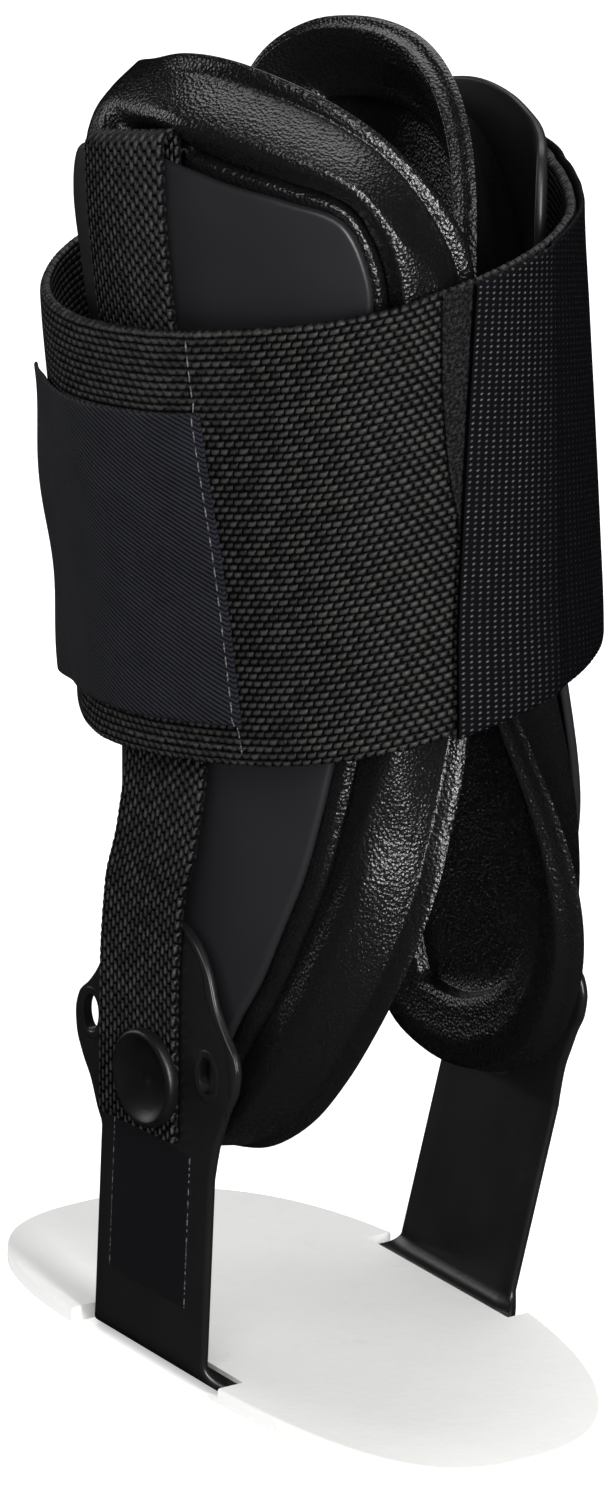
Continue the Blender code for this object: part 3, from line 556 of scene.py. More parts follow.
class Finish:
    """A material under construction."""

    def __init__(self, name, **constants):
        self.material = bpy.data.materials.new(name)
        self.material.use_nodes = True
        self.tree = self.material.node_tree
        self.shader = self.tree.nodes["Principled BSDF"]
        for socket, value in constants.items():
            self.shader.inputs[socket.replace("_", " ")].default_value = value

    def node(self, kind, settings, sockets, output=0):
        """Any node. settings are set first, then the values or links of its sockets."""
        node = self.tree.nodes.new(kind)
        for name, value in settings.items():
            setattr(node, name, value)
        for place, value in sockets.items():
            if isinstance(value, Value):
                self.tree.links.new(value.socket, node.inputs[place])
            else:
                node.inputs[place].default_value = value
        return Value(self.tree, node.outputs[output])

    def place(self):
        return self.node("ShaderNodeTexCoord", {}, {}, "Object")

    def cloth(self):
        """(along, across) in millimetres."""
        uv = self.node("ShaderNodeUVMap", {"uv_map": "cloth"}, {})
        split = self.node("ShaderNodeSeparateXYZ", {}, {0: uv})
        return split, Value(self.tree, split.socket.node.outputs[1])

    def at(self, x, y, z=0.0):
        return self.node("ShaderNodeCombineXYZ", {}, {0: x, 1: y, 2: z})

    def noise(self, size, detail=2.0, where=None, rough=0.5):
        where = where or self.place()
        return self.node("ShaderNodeTexNoise", {},
                         {"Vector": where, "Scale": 1.0 / size, "Detail": detail,
                          "Roughness": rough})

    def cells(self, size):
        return self.node("ShaderNodeTexVoronoi", {},
                         {"Vector": self.place(), "Scale": 1.0 / size}, "Distance")

    def random(self, where):
        return self.node("ShaderNodeTexWhiteNoise", {"noise_dimensions": "3D"},
                         {"Vector": where}, "Value")

    def blend(self, low, high, share):
        """Colour between two, by a share."""
        return self.node("ShaderNodeMix", {"data_type": "RGBA"},
                         {0: share, 6: (*low, 1.0), 7: (*high, 1.0)}, 2)

    def bump(self, height, depth):
        """Relief of a depth in metres."""
        return self.node("ShaderNodeBump", {},
                         {"Height": height, "Distance": depth, "Strength": 1.0})

    def give(self, **links):
        for name, value in links.items():
            self.tree.links.new(value.socket, self.shader.inputs[name.replace("_", " ")])
        return self.material


def moulded_plastic():
    """Satin-gloss black of the stirrup."""
    finish = Finish("stirrup_black", Specular_IOR_Level=0.5)
    grain = finish.noise(0.9 * MM, 3.0)
    cloud = finish.noise(14 * MM, 2.0)
    scuff = finish.noise(2.5 * MM, 4.0).above(0.62, 0.74)
    colour = finish.blend((0.006, 0.006, 0.0063), (0.010, 0.010, 0.0106), cloud)
    rough = 0.24 + 0.10 * cloud + 0.10 * scuff
    return finish.give(Base_Color=colour, Roughness=rough,
                       Normal=finish.bump(grain, 0.03 * MM))


def shell_plastic():
    """Charcoal satin of the shells, with faint scuffs."""
    finish = Finish("shell_charcoal", Specular_IOR_Level=0.5)
    cloud = finish.noise(22 * MM, 3.0)
    grain = finish.noise(0.7 * MM, 2.0)
    scuff = finish.noise(3.0 * MM, 5.0, rough=0.7).above(0.60, 0.78)
    colour = finish.blend((0.010, 0.0097, 0.0117), (0.0155, 0.015, 0.0175), cloud)
    rough = 0.36 + 0.08 * cloud + 0.12 * scuff
    return finish.give(Base_Color=colour, Roughness=rough,
                       Normal=finish.bump(grain, 0.02 * MM))


def foam_skin():
    """Pebbled skin of the moulded pads."""
    finish = Finish("pad_foam", Specular_IOR_Level=0.7)
    pebble = finish.cells(0.7 * MM)
    fine = finish.noise(0.5 * MM, 3.0)
    cloud = finish.noise(18 * MM, 2.0)
    height = pebble + fine * 0.8
    colour = finish.blend((0.003, 0.003, 0.003), (0.0065, 0.0065, 0.0065), fine)
    rough = 0.17 + 0.12 * fine + 0.05 * cloud
    return finish.give(Base_Color=colour, Roughness=rough,
                       Normal=finish.bump(height, 0.15 * MM))


def sole_foam():
    """White foam with faint mottles, pits and scuffs."""
    finish = Finish("sole_white", Specular_IOR_Level=0.3)
    mottle = finish.noise(6 * MM, 4.0, rough=0.65)
    pits = finish.cells(1.6 * MM)
    scuff = finish.noise(11 * MM, 6.0, rough=0.8).above(0.60, 0.70)
    shade = 0.45 * mottle + 0.35 * scuff
    colour = finish.blend((0.80, 0.80, 0.785), (0.68, 0.68, 0.66), shade)
    rough = 0.62 + 0.15 * mottle
    normal = finish.bump(mottle + pits * 0.3, 0.12 * MM)
    return finish.give(Base_Color=colour, Roughness=rough, Normal=normal)


def floats(finish, along, across, wide, tall):
    """Staggered floats of a weave: share of the row, share of the column, a number for
    each float."""
    row = across / tall
    column = along / wide + 0.5 * (row.floor() % 2.0)
    tone = finish.random(finish.at(row.floor(), column.floor()))
    return row.part().wave(), column.part().wave(), tone


def wide_weave():
    """Basket weave of the calf strap: soft blocks with short slits between rows, darkened by
    painted shade.
    """
    finish = Finish("strap_weave", Specular_IOR_Level=0.35)
    along, across = finish.cloth()
    sway = finish.noise(3.0, 2.0, finish.at(along, across)) - 0.5
    rise, run, tone = floats(finish, along + sway * 0.6, across + sway * 0.35, STRAP_FLOAT,
                             STRAP_ROW)
    twist = finish.noise(0.24, 2.0, finish.at(along * 0.4, across))
    height = (rise ** 0.7) * (0.15 + 0.85 * run ** 0.6) * (0.8 + 0.2 * tone) + 0.15 * twist
    # Painted shade: the colour follows the floats' relief, going near black in the slits and gaps
    # and lighter on the floats' tops; the tone also varies at random from float to float.
    colour = finish.blend((0.0003, 0.0003, 0.0003), (0.030, 0.0295, 0.028),
                          height.above(0.42, 0.95) * (0.5 + 0.5 * tone))
    return finish.give(Base_Color=colour, Roughness=0.36 + 0.3 * twist,
                       Normal=finish.bump(height, 0.75 * MM))


def narrow_weave():
    """Long upright floats of the narrow webbing, staggered from column to column."""
    finish = Finish("webbing_weave", Specular_IOR_Level=0.35)
    along, across = finish.cloth()
    sway = finish.noise(2.5, 2.0, finish.at(along, across)) - 0.5
    rise, run, tone = floats(finish, along + sway * 0.4, across + sway * 0.2, WEBBING_FLOAT,
                             WEBBING_COLUMN)
    twist = finish.noise(0.22, 2.0, finish.at(along * 0.45, across))
    height = (rise ** 0.8) * (0.1 + 0.9 * run ** 0.9) * (0.8 + 0.2 * tone) + 0.15 * twist
    # Painted shade: the colour follows the floats' relief, going near black in the gaps between
    # them; the tone also varies at random from float to float.
    colour = finish.blend((0.0002, 0.0002, 0.0002), (0.036, 0.036, 0.035),
                          height.above(0.48, 0.95) * (0.5 + 0.5 * tone))
    return finish.give(Base_Color=colour, Roughness=0.36 + 0.3 * twist,
                       Normal=finish.bump(height, 0.75 * MM))


def hook_knit():
    """Knit ground of the hook tape, with columns of small loops whose light colour is a painted
    glint, faded out along the tape by painted shade.
    """
    finish = Finish("tab_hook_tape", Specular_IOR_Level=0.1)
    along, across = finish.cloth()
    rise, run, tone = floats(finish, across, along, HOOK_PITCH, HOOK_COLUMN)
    # Painted shade: the loops' painted glints fade to black further along the tape.
    painted_light_falloff = 1.0 - 0.9 * along.above(12.0, 26.0)
    # Painted highlight: the loops' light colour stands for glints on the black hooks; the same
    # mask raises the loops and smooths them.
    hook_and_glint = ((rise ** 2.0) * (run ** 2.0)).above(0.45, 0.95) * (0.35 + 0.65 * tone) * painted_light_falloff
    ground = finish.noise(0.45, 3.0, finish.at(along, across))
    colour = finish.blend((0.0008, 0.0008, 0.0018), (0.085, 0.085, 0.095), hook_and_glint)
    return finish.give(Base_Color=colour, Roughness=0.75 - 0.35 * hook_and_glint,
                       Normal=finish.bump(hook_and_glint + ground * 0.35, 0.3 * MM))


def brushed_pile():
    """Brushed loops of the lining."""
    finish = Finish("lining_pile", Specular_IOR_Level=0.2)
    along, across = finish.cloth()
    tuft = finish.noise(0.8, 5.0, finish.at(along, across), 0.75)
    # Painted shade: the colour follows the tufts' relief and goes near black in the hollows
    # between them.
    colour = finish.blend((0.0005, 0.0005, 0.001), (0.03, 0.03, 0.032), tuft.above(0.42, 0.7))
    return finish.give(Base_Color=colour, Roughness=0.75 + 0.2 * tuft,
                       Normal=finish.bump(tuft, 0.8 * MM))


def label_satin():
    """Blue-black satin twill."""
    finish = Finish("label_twill", Specular_IOR_Level=0.3)
    along, across = finish.cloth()
    diagonal = ((along * 0.9 + across * 1.6) / 1.7).part().wave()
    fine = finish.noise(0.25, 3.0, finish.at(along, across * 2.0))
    cloud = finish.noise(9.0, 3.0, finish.at(along, across))
    height = diagonal * 0.7 + fine * 0.5
    # Painted shade: the colour follows the twill's relief and goes near black in its sunken
    # diagonals; the cloud varies the tone at random.
    colour = finish.blend((0.0004, 0.0004, 0.0014), (0.020, 0.021, 0.032),
                          height.above(0.35, 1.0) * (0.45 + 0.6 * cloud))
    return finish.give(Base_Color=colour, Roughness=0.45 + 0.2 * fine,
                       Normal=finish.bump(height, 0.25 * MM))


def rivet_plastic():
    finish = Finish("rivet_black", Specular_IOR_Level=0.5)
    grain = finish.noise(0.35 * MM, 3.0)
    cloud = finish.noise(5 * MM, 3.0)
    colour = finish.blend((0.0028, 0.0028, 0.0032), (0.006, 0.006, 0.0065), cloud)
    return finish.give(Base_Color=colour, Roughness=0.32 + 0.12 * cloud,
                       Normal=finish.bump(grain, 0.03 * MM))


def dark_film():
    """Glossy film, with short worn dashes along its upright edges."""
    finish = Finish("sticker_film", Specular_IOR_Level=0.5)
    split = finish.node("ShaderNodeSeparateXYZ", {}, {0: finish.place()})
    up = Value(finish.tree, split.socket.node.outputs[2])
    inwards = STICKER_WIDTH / 2 - (split + (ARM_BACK + STICKER_BACK)).math(
        "ABSOLUTE", split + (ARM_BACK + STICKER_BACK))
    edge = 1.0 - (inwards / MM).above(0.12, 0.28)
    dashes = finish.noise(1.3 * MM, 2.0, finish.at(0.0, 0.0, up)).above(0.47, 0.55)
    colour = finish.blend((0.0065, 0.0065, 0.0075), (0.13, 0.13, 0.14), edge * dashes)
    cloud = finish.noise(8 * MM, 3.0)
    return finish.give(Base_Color=colour, Roughness=0.16 + 0.08 * cloud)


def thread(name, dark, light):
    finish = Finish(name, Specular_IOR_Level=0.4)
    twist = finish.noise(0.3 * MM, 3.0)
    return finish.give(Base_Color=finish.blend(dark, light, twist.above(0.35, 0.7)),
                       Roughness=0.5 + 0.2 * twist)


def floor_paper():
    finish = Finish("floor_paper", Specular_IOR_Level=0.0, Emission_Color=(1, 1, 1, 1),
                    Emission_Strength=0.45)
    tooth = finish.noise(1.5 * MM, 2.0)
    return finish.give(Base_Color=finish.blend((0.93, 0.93, 0.93), (0.96, 0.96, 0.96), tooth),
                       Roughness=0.9 + 0.05 * tooth)


# Calf strap and what lies on it

@functools.cache
def strap_grid():
    """Radius of the calf strap's outer face, by level and turn, read from its solid."""
    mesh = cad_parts["calf_strap"].data
    grid = np.zeros((STRAP_LEVELS, STRAP_TURNS))
    for vert in mesh.vertices:
        x, y, z = vert.co
        up = (z - STRAP_LOW - STRAP_TILT_FORE * x - STRAP_TILT_SIDE * y) / STRAP_RISE
        turn = math.atan2(y, x) / (2 * math.pi) * STRAP_TURNS
        level = round(up * (STRAP_LEVELS - 1))
        if 0 <= level < STRAP_LEVELS:
            place = round(turn) % STRAP_TURNS
            grid[level, place] = max(grid[level, place], math.hypot(x, y))
    return grid


def strap_radius(angle, up):
    grid = strap_grid()
    turn = (np.asarray(angle) / (2 * math.pi) % 1.0) * STRAP_TURNS
    level = np.clip(up, 0.0, 1.0) * (STRAP_LEVELS - 1)
    turn, level = np.broadcast_arrays(turn, level)
    i = turn.astype(int)
    j = np.minimum(level.astype(int), STRAP_LEVELS - 2)
    across = spline_weights(turn - i)
    upward = spline_weights(level - j)
    found = np.zeros(turn.shape)
    for a in range(4):
        row = np.clip(j + a - 1, 0, STRAP_LEVELS - 1)
        for b in range(4):
            found = found + upward[a] * across[b] * grid[row, (i + b - 1) % STRAP_TURNS]
    return found


def strap_points(angle, up, off):
    """Points on the calf strap's outer face, or off it. angle is in radians."""
    angle, up, off = np.broadcast_arrays(angle, up, off)
    step = 2 * math.pi / STRAP_TURNS / 4
    spots = []
    for turn in (angle - step, angle, angle + step):
        radius = strap_radius(turn, up)
        spots.append(np.stack([radius * np.cos(turn), radius * np.sin(turn)], axis=-1))
    run = spots[2] - spots[0]
    normal = np.stack([run[..., 1], -run[..., 0]], axis=-1)
    normal /= np.linalg.norm(normal, axis=-1)[..., None]
    spot = spots[1] + normal * off[..., None]
    x, y = spot[..., 0], spot[..., 1]
    z = STRAP_LOW + STRAP_TILT_FORE * x + STRAP_TILT_SIDE * y + STRAP_RISE * up
    return np.stack([x, y, z], axis=-1)


def squeeze(points):
    """How far the calf strap presses points of a pad's outer side inwards."""
    x, y, z = points[..., 0], points[..., 1], points[..., 2]
    up = (z - STRAP_LOW - STRAP_TILT_FORE * x - STRAP_TILT_SIDE * y) / STRAP_RISE
    beyond = np.maximum(np.maximum(-up, up - 1.0), 0.0) * STRAP_RISE / SQUEEZE_BAND
    weight = 1.0 - ease(beyond - 1.0)
    reach = np.hypot(x, y)
    room = strap_radius(np.arctan2(y, x), np.clip(up, 0, 1)) - STRAP_THICK - 3 * GAP
    push = np.minimum(room - reach, 0.0) * weight
    return np.stack([x / reach * push, y / reach * push, np.zeros_like(push)], axis=-1)


def thinning(share, round_over):
    """Half thickness near a cloth's edge: full inside, round at the edge."""
    beyond = np.clip((round_over - share) / round_over, 0.0, 1.0)
    return np.sqrt(np.maximum(1.0 - beyond ** 2, 0.0)) * 0.85 + 0.15


def band(name, angles, ups, base, thickness, material, closed=False, lift=None, wave=0.0):
    """Band round the leg. angles has a row for each station along it and a column for
    each height in ups. base is the inner face's offset from the calf strap's face."""
    ups = np.asarray(ups, float)
    height = (ups[-1] - ups[0]) * STRAP_RISE
    edge = np.minimum(ups - ups[0], ups[-1] - ups) * STRAP_RISE
    half = thickness / 2 * thinning(edge, 0.7 * thickness)
    middle = base + thickness / 2 + (0.0 if lift is None else lift)
    face = strap_points(angles, ups[None, :], middle)
    steps = np.linalg.norm(np.diff(face[:, len(ups) // 2], axis=0), axis=1)
    along = np.concatenate([[0], np.cumsum(steps)])
    ripple = np.zeros((len(angles), len(ups)))
    if wave:
        near = np.clip(1.0 - edge / RIPPLE_REACH, 0.0, 1.0)
        ripple = wave * np.sin(along / RIPPLE_PITCH * 2 * math.pi)[:, None] * near[None, :]
        ripple *= np.where(np.arange(len(ups)) < len(ups) / 2, -1.0, 1.0)[None, :]
    outer = strap_points(angles, ups[None, :] + ripple / STRAP_RISE, middle + half[None, :])
    inner = strap_points(angles, ups[None, :] + ripple / STRAP_RISE, middle - half[None, :])
    rings = np.concatenate([outer, inner[:, ::-1]], axis=1)
    across = (ups - ups[0]) / (ups[-1] - ups[0]) * height
    section = np.concatenate([across, across[::-1], across[:1]])
    if closed:
        last = np.linalg.norm(face[0, len(ups) // 2] - face[-1, len(ups) // 2])
        along = np.append(along, along[-1] + last)
    uv = np.stack(np.broadcast_arrays(along[:, None], section[None, :]), axis=-1) / MM
    return lofted(name, rings, material, uv, closed, 60.0), along[-1]


def make_calf_strap(material):
    turns = np.radians(np.linspace(0, 360, 720, endpoint=False))
    ups = np.concatenate([[0.0, 0.004, 0.010, 0.018], np.linspace(0.03, 0.97, 40),
                          [0.982, 0.990, 0.996, 1.0]])
    angles = np.broadcast_to(turns[:, None], (len(turns), len(ups)))
    strap, length = band("calf_strap_weave", angles, ups, -STRAP_THICK, STRAP_THICK, material,
                         closed=True, wave=0.16 * MM)
    return strap, length


def edge_angles(rows, ups, last, count):
    """Angles from a slanting first edge to an end, by station and height."""
    first = read_rows(rows, ups)
    shares = np.linspace(0, 1, count)[:, None]
    return np.radians(first[None, :] * (1 - shares) + last * shares)


def band_levels(low, high, count):
    inner = np.linspace(low + 0.02, high - 0.02, count)
    return np.concatenate([[low, low + 0.004, low + 0.01], inner,
                           [high - 0.01, high - 0.004, high]])


def make_tab(material):
    ups = band_levels(0.0, 1.0, 34)
    angles = edge_angles(TAB_EDGE_ROWS, ups, TAB_END, 300)
    beyond = (np.degrees(angles) - LINING_END) / 5.0
    lift = (LINING_THICK + LAYER_GAP) * (1 - ease(beyond))
    return band("closure_hook_tape", angles, ups, LAYER_GAP, TAB_THICK, material, lift=lift,
                wave=0.1 * MM)


def make_lining(material):
    ups = band_levels(LINING_LOW, 1.0, 24)
    angles = edge_angles(LINING_EDGE_ROWS, ups, LINING_END, 60)
    return band("closure_loop_pile", angles, ups, LAYER_GAP, LINING_THICK, material,
                wave=0.12 * MM)


def make_label(material):
    """The label, folded proud at its rear edge and sewn down at its front edge."""
    ups = band_levels(LABEL_LOW, LABEL_HIGH, 30)
    front = read_rows(LABEL_FRONT_ROWS, ups)
    shares = np.linspace(0, 1, 150)[:, None]
    angles = np.radians(LABEL_REAR * (1 - shares) + front[None, :] * shares)
    lift = LABEL_STAND * (1 - ease(shares / 0.14)) + LABEL_WAVE * np.sin(shares * 9.0) ** 2
    lift = lift * (0.75 + 0.25 * np.sin(ups[None, :] * 14.0))
    return band("woven_label_satin", angles, ups, LAYER_GAP, LABEL_THICK, material, lift=lift,
                wave=0.08 * MM)


# Shells, pads and narrow webbing

def make_shell(side, material):
    """Curved side plate with a soft bead round its edge."""
    outline = refine(shell_outline(), OUTLINE_DETAIL)
    outer_round, inner_round = 1.2 * MM, 0.6 * MM
    rings = []

    def ring(points, off):
        rings.append(upper_points(side, points[:, 0], points[:, 1], off))

    for share in SHELL_SHARES:
        ring(shrink(inset(outline, outer_round), share), 0.0)
    for angle in np.linspace(0, math.pi / 2, 7):
        ring(inset(outline, outer_round * (1 - math.sin(angle))),
             -outer_round * (1 - math.cos(angle)))
    for angle in np.linspace(math.pi / 2, 0, 5):
        ring(inset(outline, inner_round * (1 - math.sin(angle))),
             -SHELL_THICK + inner_round * (1 - math.cos(angle)))
    for share in reversed(SHELL_SHARES):
        ring(shrink(inset(outline, inner_round), share), -SHELL_THICK)
    return lofted(side_name(side) + "_side_shell", rings, material)


def shell_top_height():
    return max(h for u, h in shell_outline() if abs(u) < WEBBING_WIDTH * 0.75)


def pad_seat(side, along, height):
    """Depth of the seats for the rivet's flange and, in the outer pad, for the tuck."""
    beside = (WEBBING_WIDTH / 2 + 2.0 * MM - np.abs(along)) / (1.6 * MM)
    above = (height - shell_top_height() + TUCK_LENGTH + 4 * MM) / (3 * MM)
    below = (shell_top_height() + FOLD_RISE + 3 * MM - height) / (5 * MM)
    tuck = (WEBBING_THICK + GAP) * ease(beside) * ease(above) * ease(below)
    if side > 0:
        tuck = 0.0
    away = np.hypot(along, height - HINGE_HEIGHT)
    flange = (FLANGE_THICK + 3 * GAP) * ease((FLANGE_RADIUS + 3 * MM - away) / (1.5 * MM))
    return np.maximum(tuck, flange)


def make_pad(side, material):
    """Moulded pad: a field behind the shell, a groove round it, a roll and a lip."""
    edge = foam_outline(side)
    if side > 0:
        field = inset(edge, FIELD_INSET)
    else:
        field = shell_outline()
        edge = match_start(field, edge)
    field, edge = refine(field, OUTLINE_DETAIL), refine(edge, OUTLINE_DETAIL)
    face = -(SHELL_THICK + FOAM_GAP)
    rings = []

    def ring(points, share, wall):
        along, height = points[:, 0], points[:, 1]
        roll = ROLL_DEPTH + ROLL_CURL * calf_share(height)
        curl = read_rows(CURL_ROWS, share)
        if side > 0:
            depth = read_rows(MEDIAL_BORDER_ROWS, share)
        else:
            fore = ease((along + 8 * MM) / (26 * MM))
            depth = curl + (read_rows(BORDER_ROWS, share) - curl) * fore
        skin = face - depth * roll
        off = skin - pad_seat(side, along, height)
        if wall:
            off = face - curl * roll - wall
        rings.append(upper_points(side, along, height, off)
                     + squeeze(upper_points(side, along, height, skin)))

    for share in PAD_SHARES:
        ring(shrink(field, share), 0.0, 0.0)
    outward = np.concatenate([np.linspace(0, 0.14, 8), np.linspace(0.16, 0.34, 19),
                              np.linspace(0.37, 0.76, 18), np.linspace(0.78, 1.0, 20)])
    for share in outward:
        ring(field + (edge - field) * share, share, 0.0)
    inward = np.concatenate([[0.998, 0.994, 0.988], np.linspace(0.98, 0.86, 16),
                             np.linspace(0.83, 0.12, 20), np.linspace(0.10, 0.0, 16)])
    for share in inward:
        wall = float(read_rows(WALL_ROWS, share)) * FOAM_THICK
        ring(field + (edge - field) * share, share, wall)
    for share in reversed(PAD_SHARES):
        ring(shrink(field, share), 0.0, float(read_rows(WALL_ROWS, 0.0)) * FOAM_THICK)
    return lofted(side_name(side) + "_moulded_pad", rings, material, smooth_angle=70.0)


def webbing_path(side):
    """Rows of (height, off, flat) for the middle of the webbing's thickness, and the
    number of the row at its fold. The inner webbing has none: it ends below the top."""
    over_head = STIRRUP_THICK + RUNNING_GAP + GAP + WEBBING_THICK / 2
    on_shell = LAYER_GAP + WEBBING_THICK / 2
    inside = -(SHELL_THICK + LAYER_GAP + WEBBING_THICK / 2)
    head_top = HINGE_HEIGHT + HEAD_RISE
    shell_top = shell_top_height()
    fold_radius = (on_shell - inside) / 2
    fold_height = shell_top + FOLD_RISE - fold_radius - WEBBING_THICK / 2
    if side > 0:
        fold_height = shell_top - MEDIAL_WEBBING_SHORT
    path = []
    for share in np.linspace(0, 1, 100):
        path.append((WEBBING_LOW + share * (head_top + HEAD_CLEAR - WEBBING_LOW), over_head, 1.0))
    for share in np.linspace(0, 1, 90)[1:]:
        off = over_head + (on_shell - over_head) * float(ease(share))
        path.append((head_top + HEAD_CLEAR + share * HEAD_LEAVE, off, 1.0 - float(ease(share))))
    low = head_top + HEAD_CLEAR + HEAD_LEAVE
    for share in np.linspace(0, 1, 220)[1:]:
        path.append((low + share * (fold_height - low), on_shell, 0.0))
    folded = len(path)
    if side > 0:
        return np.array(path), 2 * folded
    for angle in np.linspace(0, math.pi, 15)[1:-1]:
        path.append((fold_height + fold_radius * math.sin(angle),
                     (on_shell + inside) / 2 + fold_radius * math.cos(angle), 0.0))
    for share in np.linspace(0, 1, 50):
        path.append((fold_height + share * (shell_top - TUCK_LENGTH - fold_height), inside, 0.0))
    return np.array(path), folded


def webbing_relief(along, across):
    """Height of the floats, from 0 to 1, where the webbing's shader has them."""
    row = across / WEBBING_COLUMN
    column = along / WEBBING_FLOAT + 0.5 * (np.floor(row) % 2.0)
    rise, run = np.abs(np.sin(row * math.pi)), np.abs(np.sin(column * math.pi))
    return (rise ** 0.8) * (0.15 + 0.85 * run ** 0.6)


def make_webbing(side, material):
    """Narrow webbing from the rivet up the shell. The outer one goes over its top."""
    path, folded = webbing_path(side)
    half_width = WEBBING_WIDTH / 2
    back = MEDIAL_WEBBING_BACK if side > 0 else 0.0
    columns = np.linspace(-half_width, half_width, 81)
    heights, offs, flats = path.T
    run = np.stack([np.gradient(heights), np.gradient(offs)], axis=1)
    run /= np.linalg.norm(run, axis=1)[:, None]
    steps = np.hypot(np.diff(heights), np.diff(offs))
    along = np.concatenate([[0], np.cumsum(steps)])
    middle = read_rows(WEBBING_ROWS, heights / FOAM_TOP) * WEBBING_WIDTH - back
    near_fold = np.clip((np.arange(len(path)) - folded + 30) / 30, 0.0, 1.0)
    edge = half_width - np.abs(columns)
    relief = webbing_relief(along[:, None] / MM, (columns[None, :] + half_width) / MM)
    half = (WEBBING_THICK / 2 - FLOAT_RELIEF) * thinning(edge, 0.9 * MM)[None, :]
    half = half + FLOAT_RELIEF * relief
    jog = JOG_DEPTH * np.sin(along / JOG_PITCH * 2 * math.pi)[:, None] * np.sign(columns)[None, :]
    jog = jog * np.clip(1 - edge / JOG_REACH, 0, 1)[None, :]
    sides = []
    for sign in (1, -1):
        place = middle[:, None] + columns[None, :] + jog
        droop = FLAT_CURVE * place ** 2 / 2
        climb = FOLD_SLOPE * columns[None, :] * near_fold[:, None]
        height = heights[:, None] + climb - run[:, 1:] * half * sign
        off = offs[:, None] + run[:, :1] * half * sign + flats[:, None] * droop
        sides.append(upper_points(side, place, height, off))
    rings = np.concatenate([sides[0], sides[1][:, ::-1]], axis=1)
    across = columns + half_width
    section = np.concatenate([across, across[::-1], across[:1]])
    uv = np.stack(np.broadcast_arrays(along[:, None], section[None, :]), axis=-1) / MM
    return lofted(side_name(side) + "_narrow_webbing", rings, material, uv, False, 75.0), along[-1]


def make_rivet(side, material):
    under = STIRRUP_WIDTH / 2 + side_lean(side) + GAP + WEBBING_THICK + GAP
    inside = shell_face(side) - SHELL_THICK - GAP
    profile = [(CAP_RADIUS * r, under + CAP_HEIGHT * h) for r, h in CAP_ROWS]
    profile += [(SHANK_RADIUS, under), (SHANK_RADIUS, inside), (FLANGE_RADIUS, inside),
                (FLANGE_RADIUS, inside - FLANGE_THICK)]
    return turned(side_name(side) + "_rivet_cap", profile, side, material)


# Footplate

def stirrup_rows():
    """Rows of (y, z, rear, front) down the outer arm, across and up the inner arm."""
    side = (STIRRUP_WIDTH - STIRRUP_THICK) / 2
    bend = STIRRUP_THICK / 2 + BEND_RADIUS
    neck_end = HINGE_HEIGHT * NECK_LOW
    arm_rear, arm_front = ARM_BACK + ARM_BREADTH / 2, ARM_BREADTH / 2 - ARM_BACK
    base_rear, base_front = ARM_BACK + BASE_BREADTH / 2, BASE_BREADTH / 2 - ARM_BACK
    table = [(HINGE_HEIGHT + up * HEAD_RISE, rear * HEAD_HALF_BREADTH,
              front * HEAD_HALF_BREADTH) for up, rear, front in HEAD_ROWS]
    table += [(HINGE_HEIGHT * (1 - down), rear * HEAD_HALF_BREADTH, front * HEAD_HALF_BREADTH)
              for down, rear, front in NECK_ROWS]
    table += [(neck_end, arm_rear, arm_front), (bend, arm_rear, arm_front)]
    top = HINGE_HEIGHT + HEAD_RISE
    heights = np.concatenate([top - np.array([0, 0.15, 0.4, 0.8, 1.3]) * MM,
                              np.linspace(top - 2 * MM, bend, 76)])
    rears = read_rows(table, heights, 1)
    fronts = read_rows(table, heights, 2)

    def lean(z):
        return MEDIAL_LEAN * min((z - bend) / (neck_end - bend), 1.0)

    rows = [(-side, z, -rear, front) for z, rear, front in zip(heights, rears, fronts)]
    corner = []
    for share in np.linspace(0, 1, 13)[1:]:
        angle = share * math.pi / 2
        corner.append((side - BEND_RADIUS * (1 - math.cos(angle)),
                       bend - BEND_RADIUS * math.sin(angle),
                       -arm_rear - (base_rear - arm_rear) * float(ease(share)),
                       arm_front + (base_front - arm_front) * float(ease(share))))
    rows += [(-y, z, rear, front) for y, z, rear, front in corner]
    rows += [(y, z, rear, front) for y, z, rear, front in reversed(corner)]
    rows += [(side + lean(z), z, -rear, front)
             for z, rear, front in reversed(list(zip(heights, rears, fronts)))]
    return rows


def eyelet_middles(side):
    for reach in (-EYELET_REACH, EYELET_REACH):
        yield reach - HEAD_BACK, side * (STIRRUP_WIDTH / 2 + side_lean(side)), \
            HINGE_HEIGHT + EYELET_RISE


def oval(middle, wide, tall, y, sides=40):
    angles = np.linspace(0, 2 * math.pi, sides, endpoint=False)
    return np.stack([middle[0] + wide / 2 * np.cos(angles), np.full(sides, y),
                     middle[2] + tall / 2 * np.sin(angles)], axis=1)


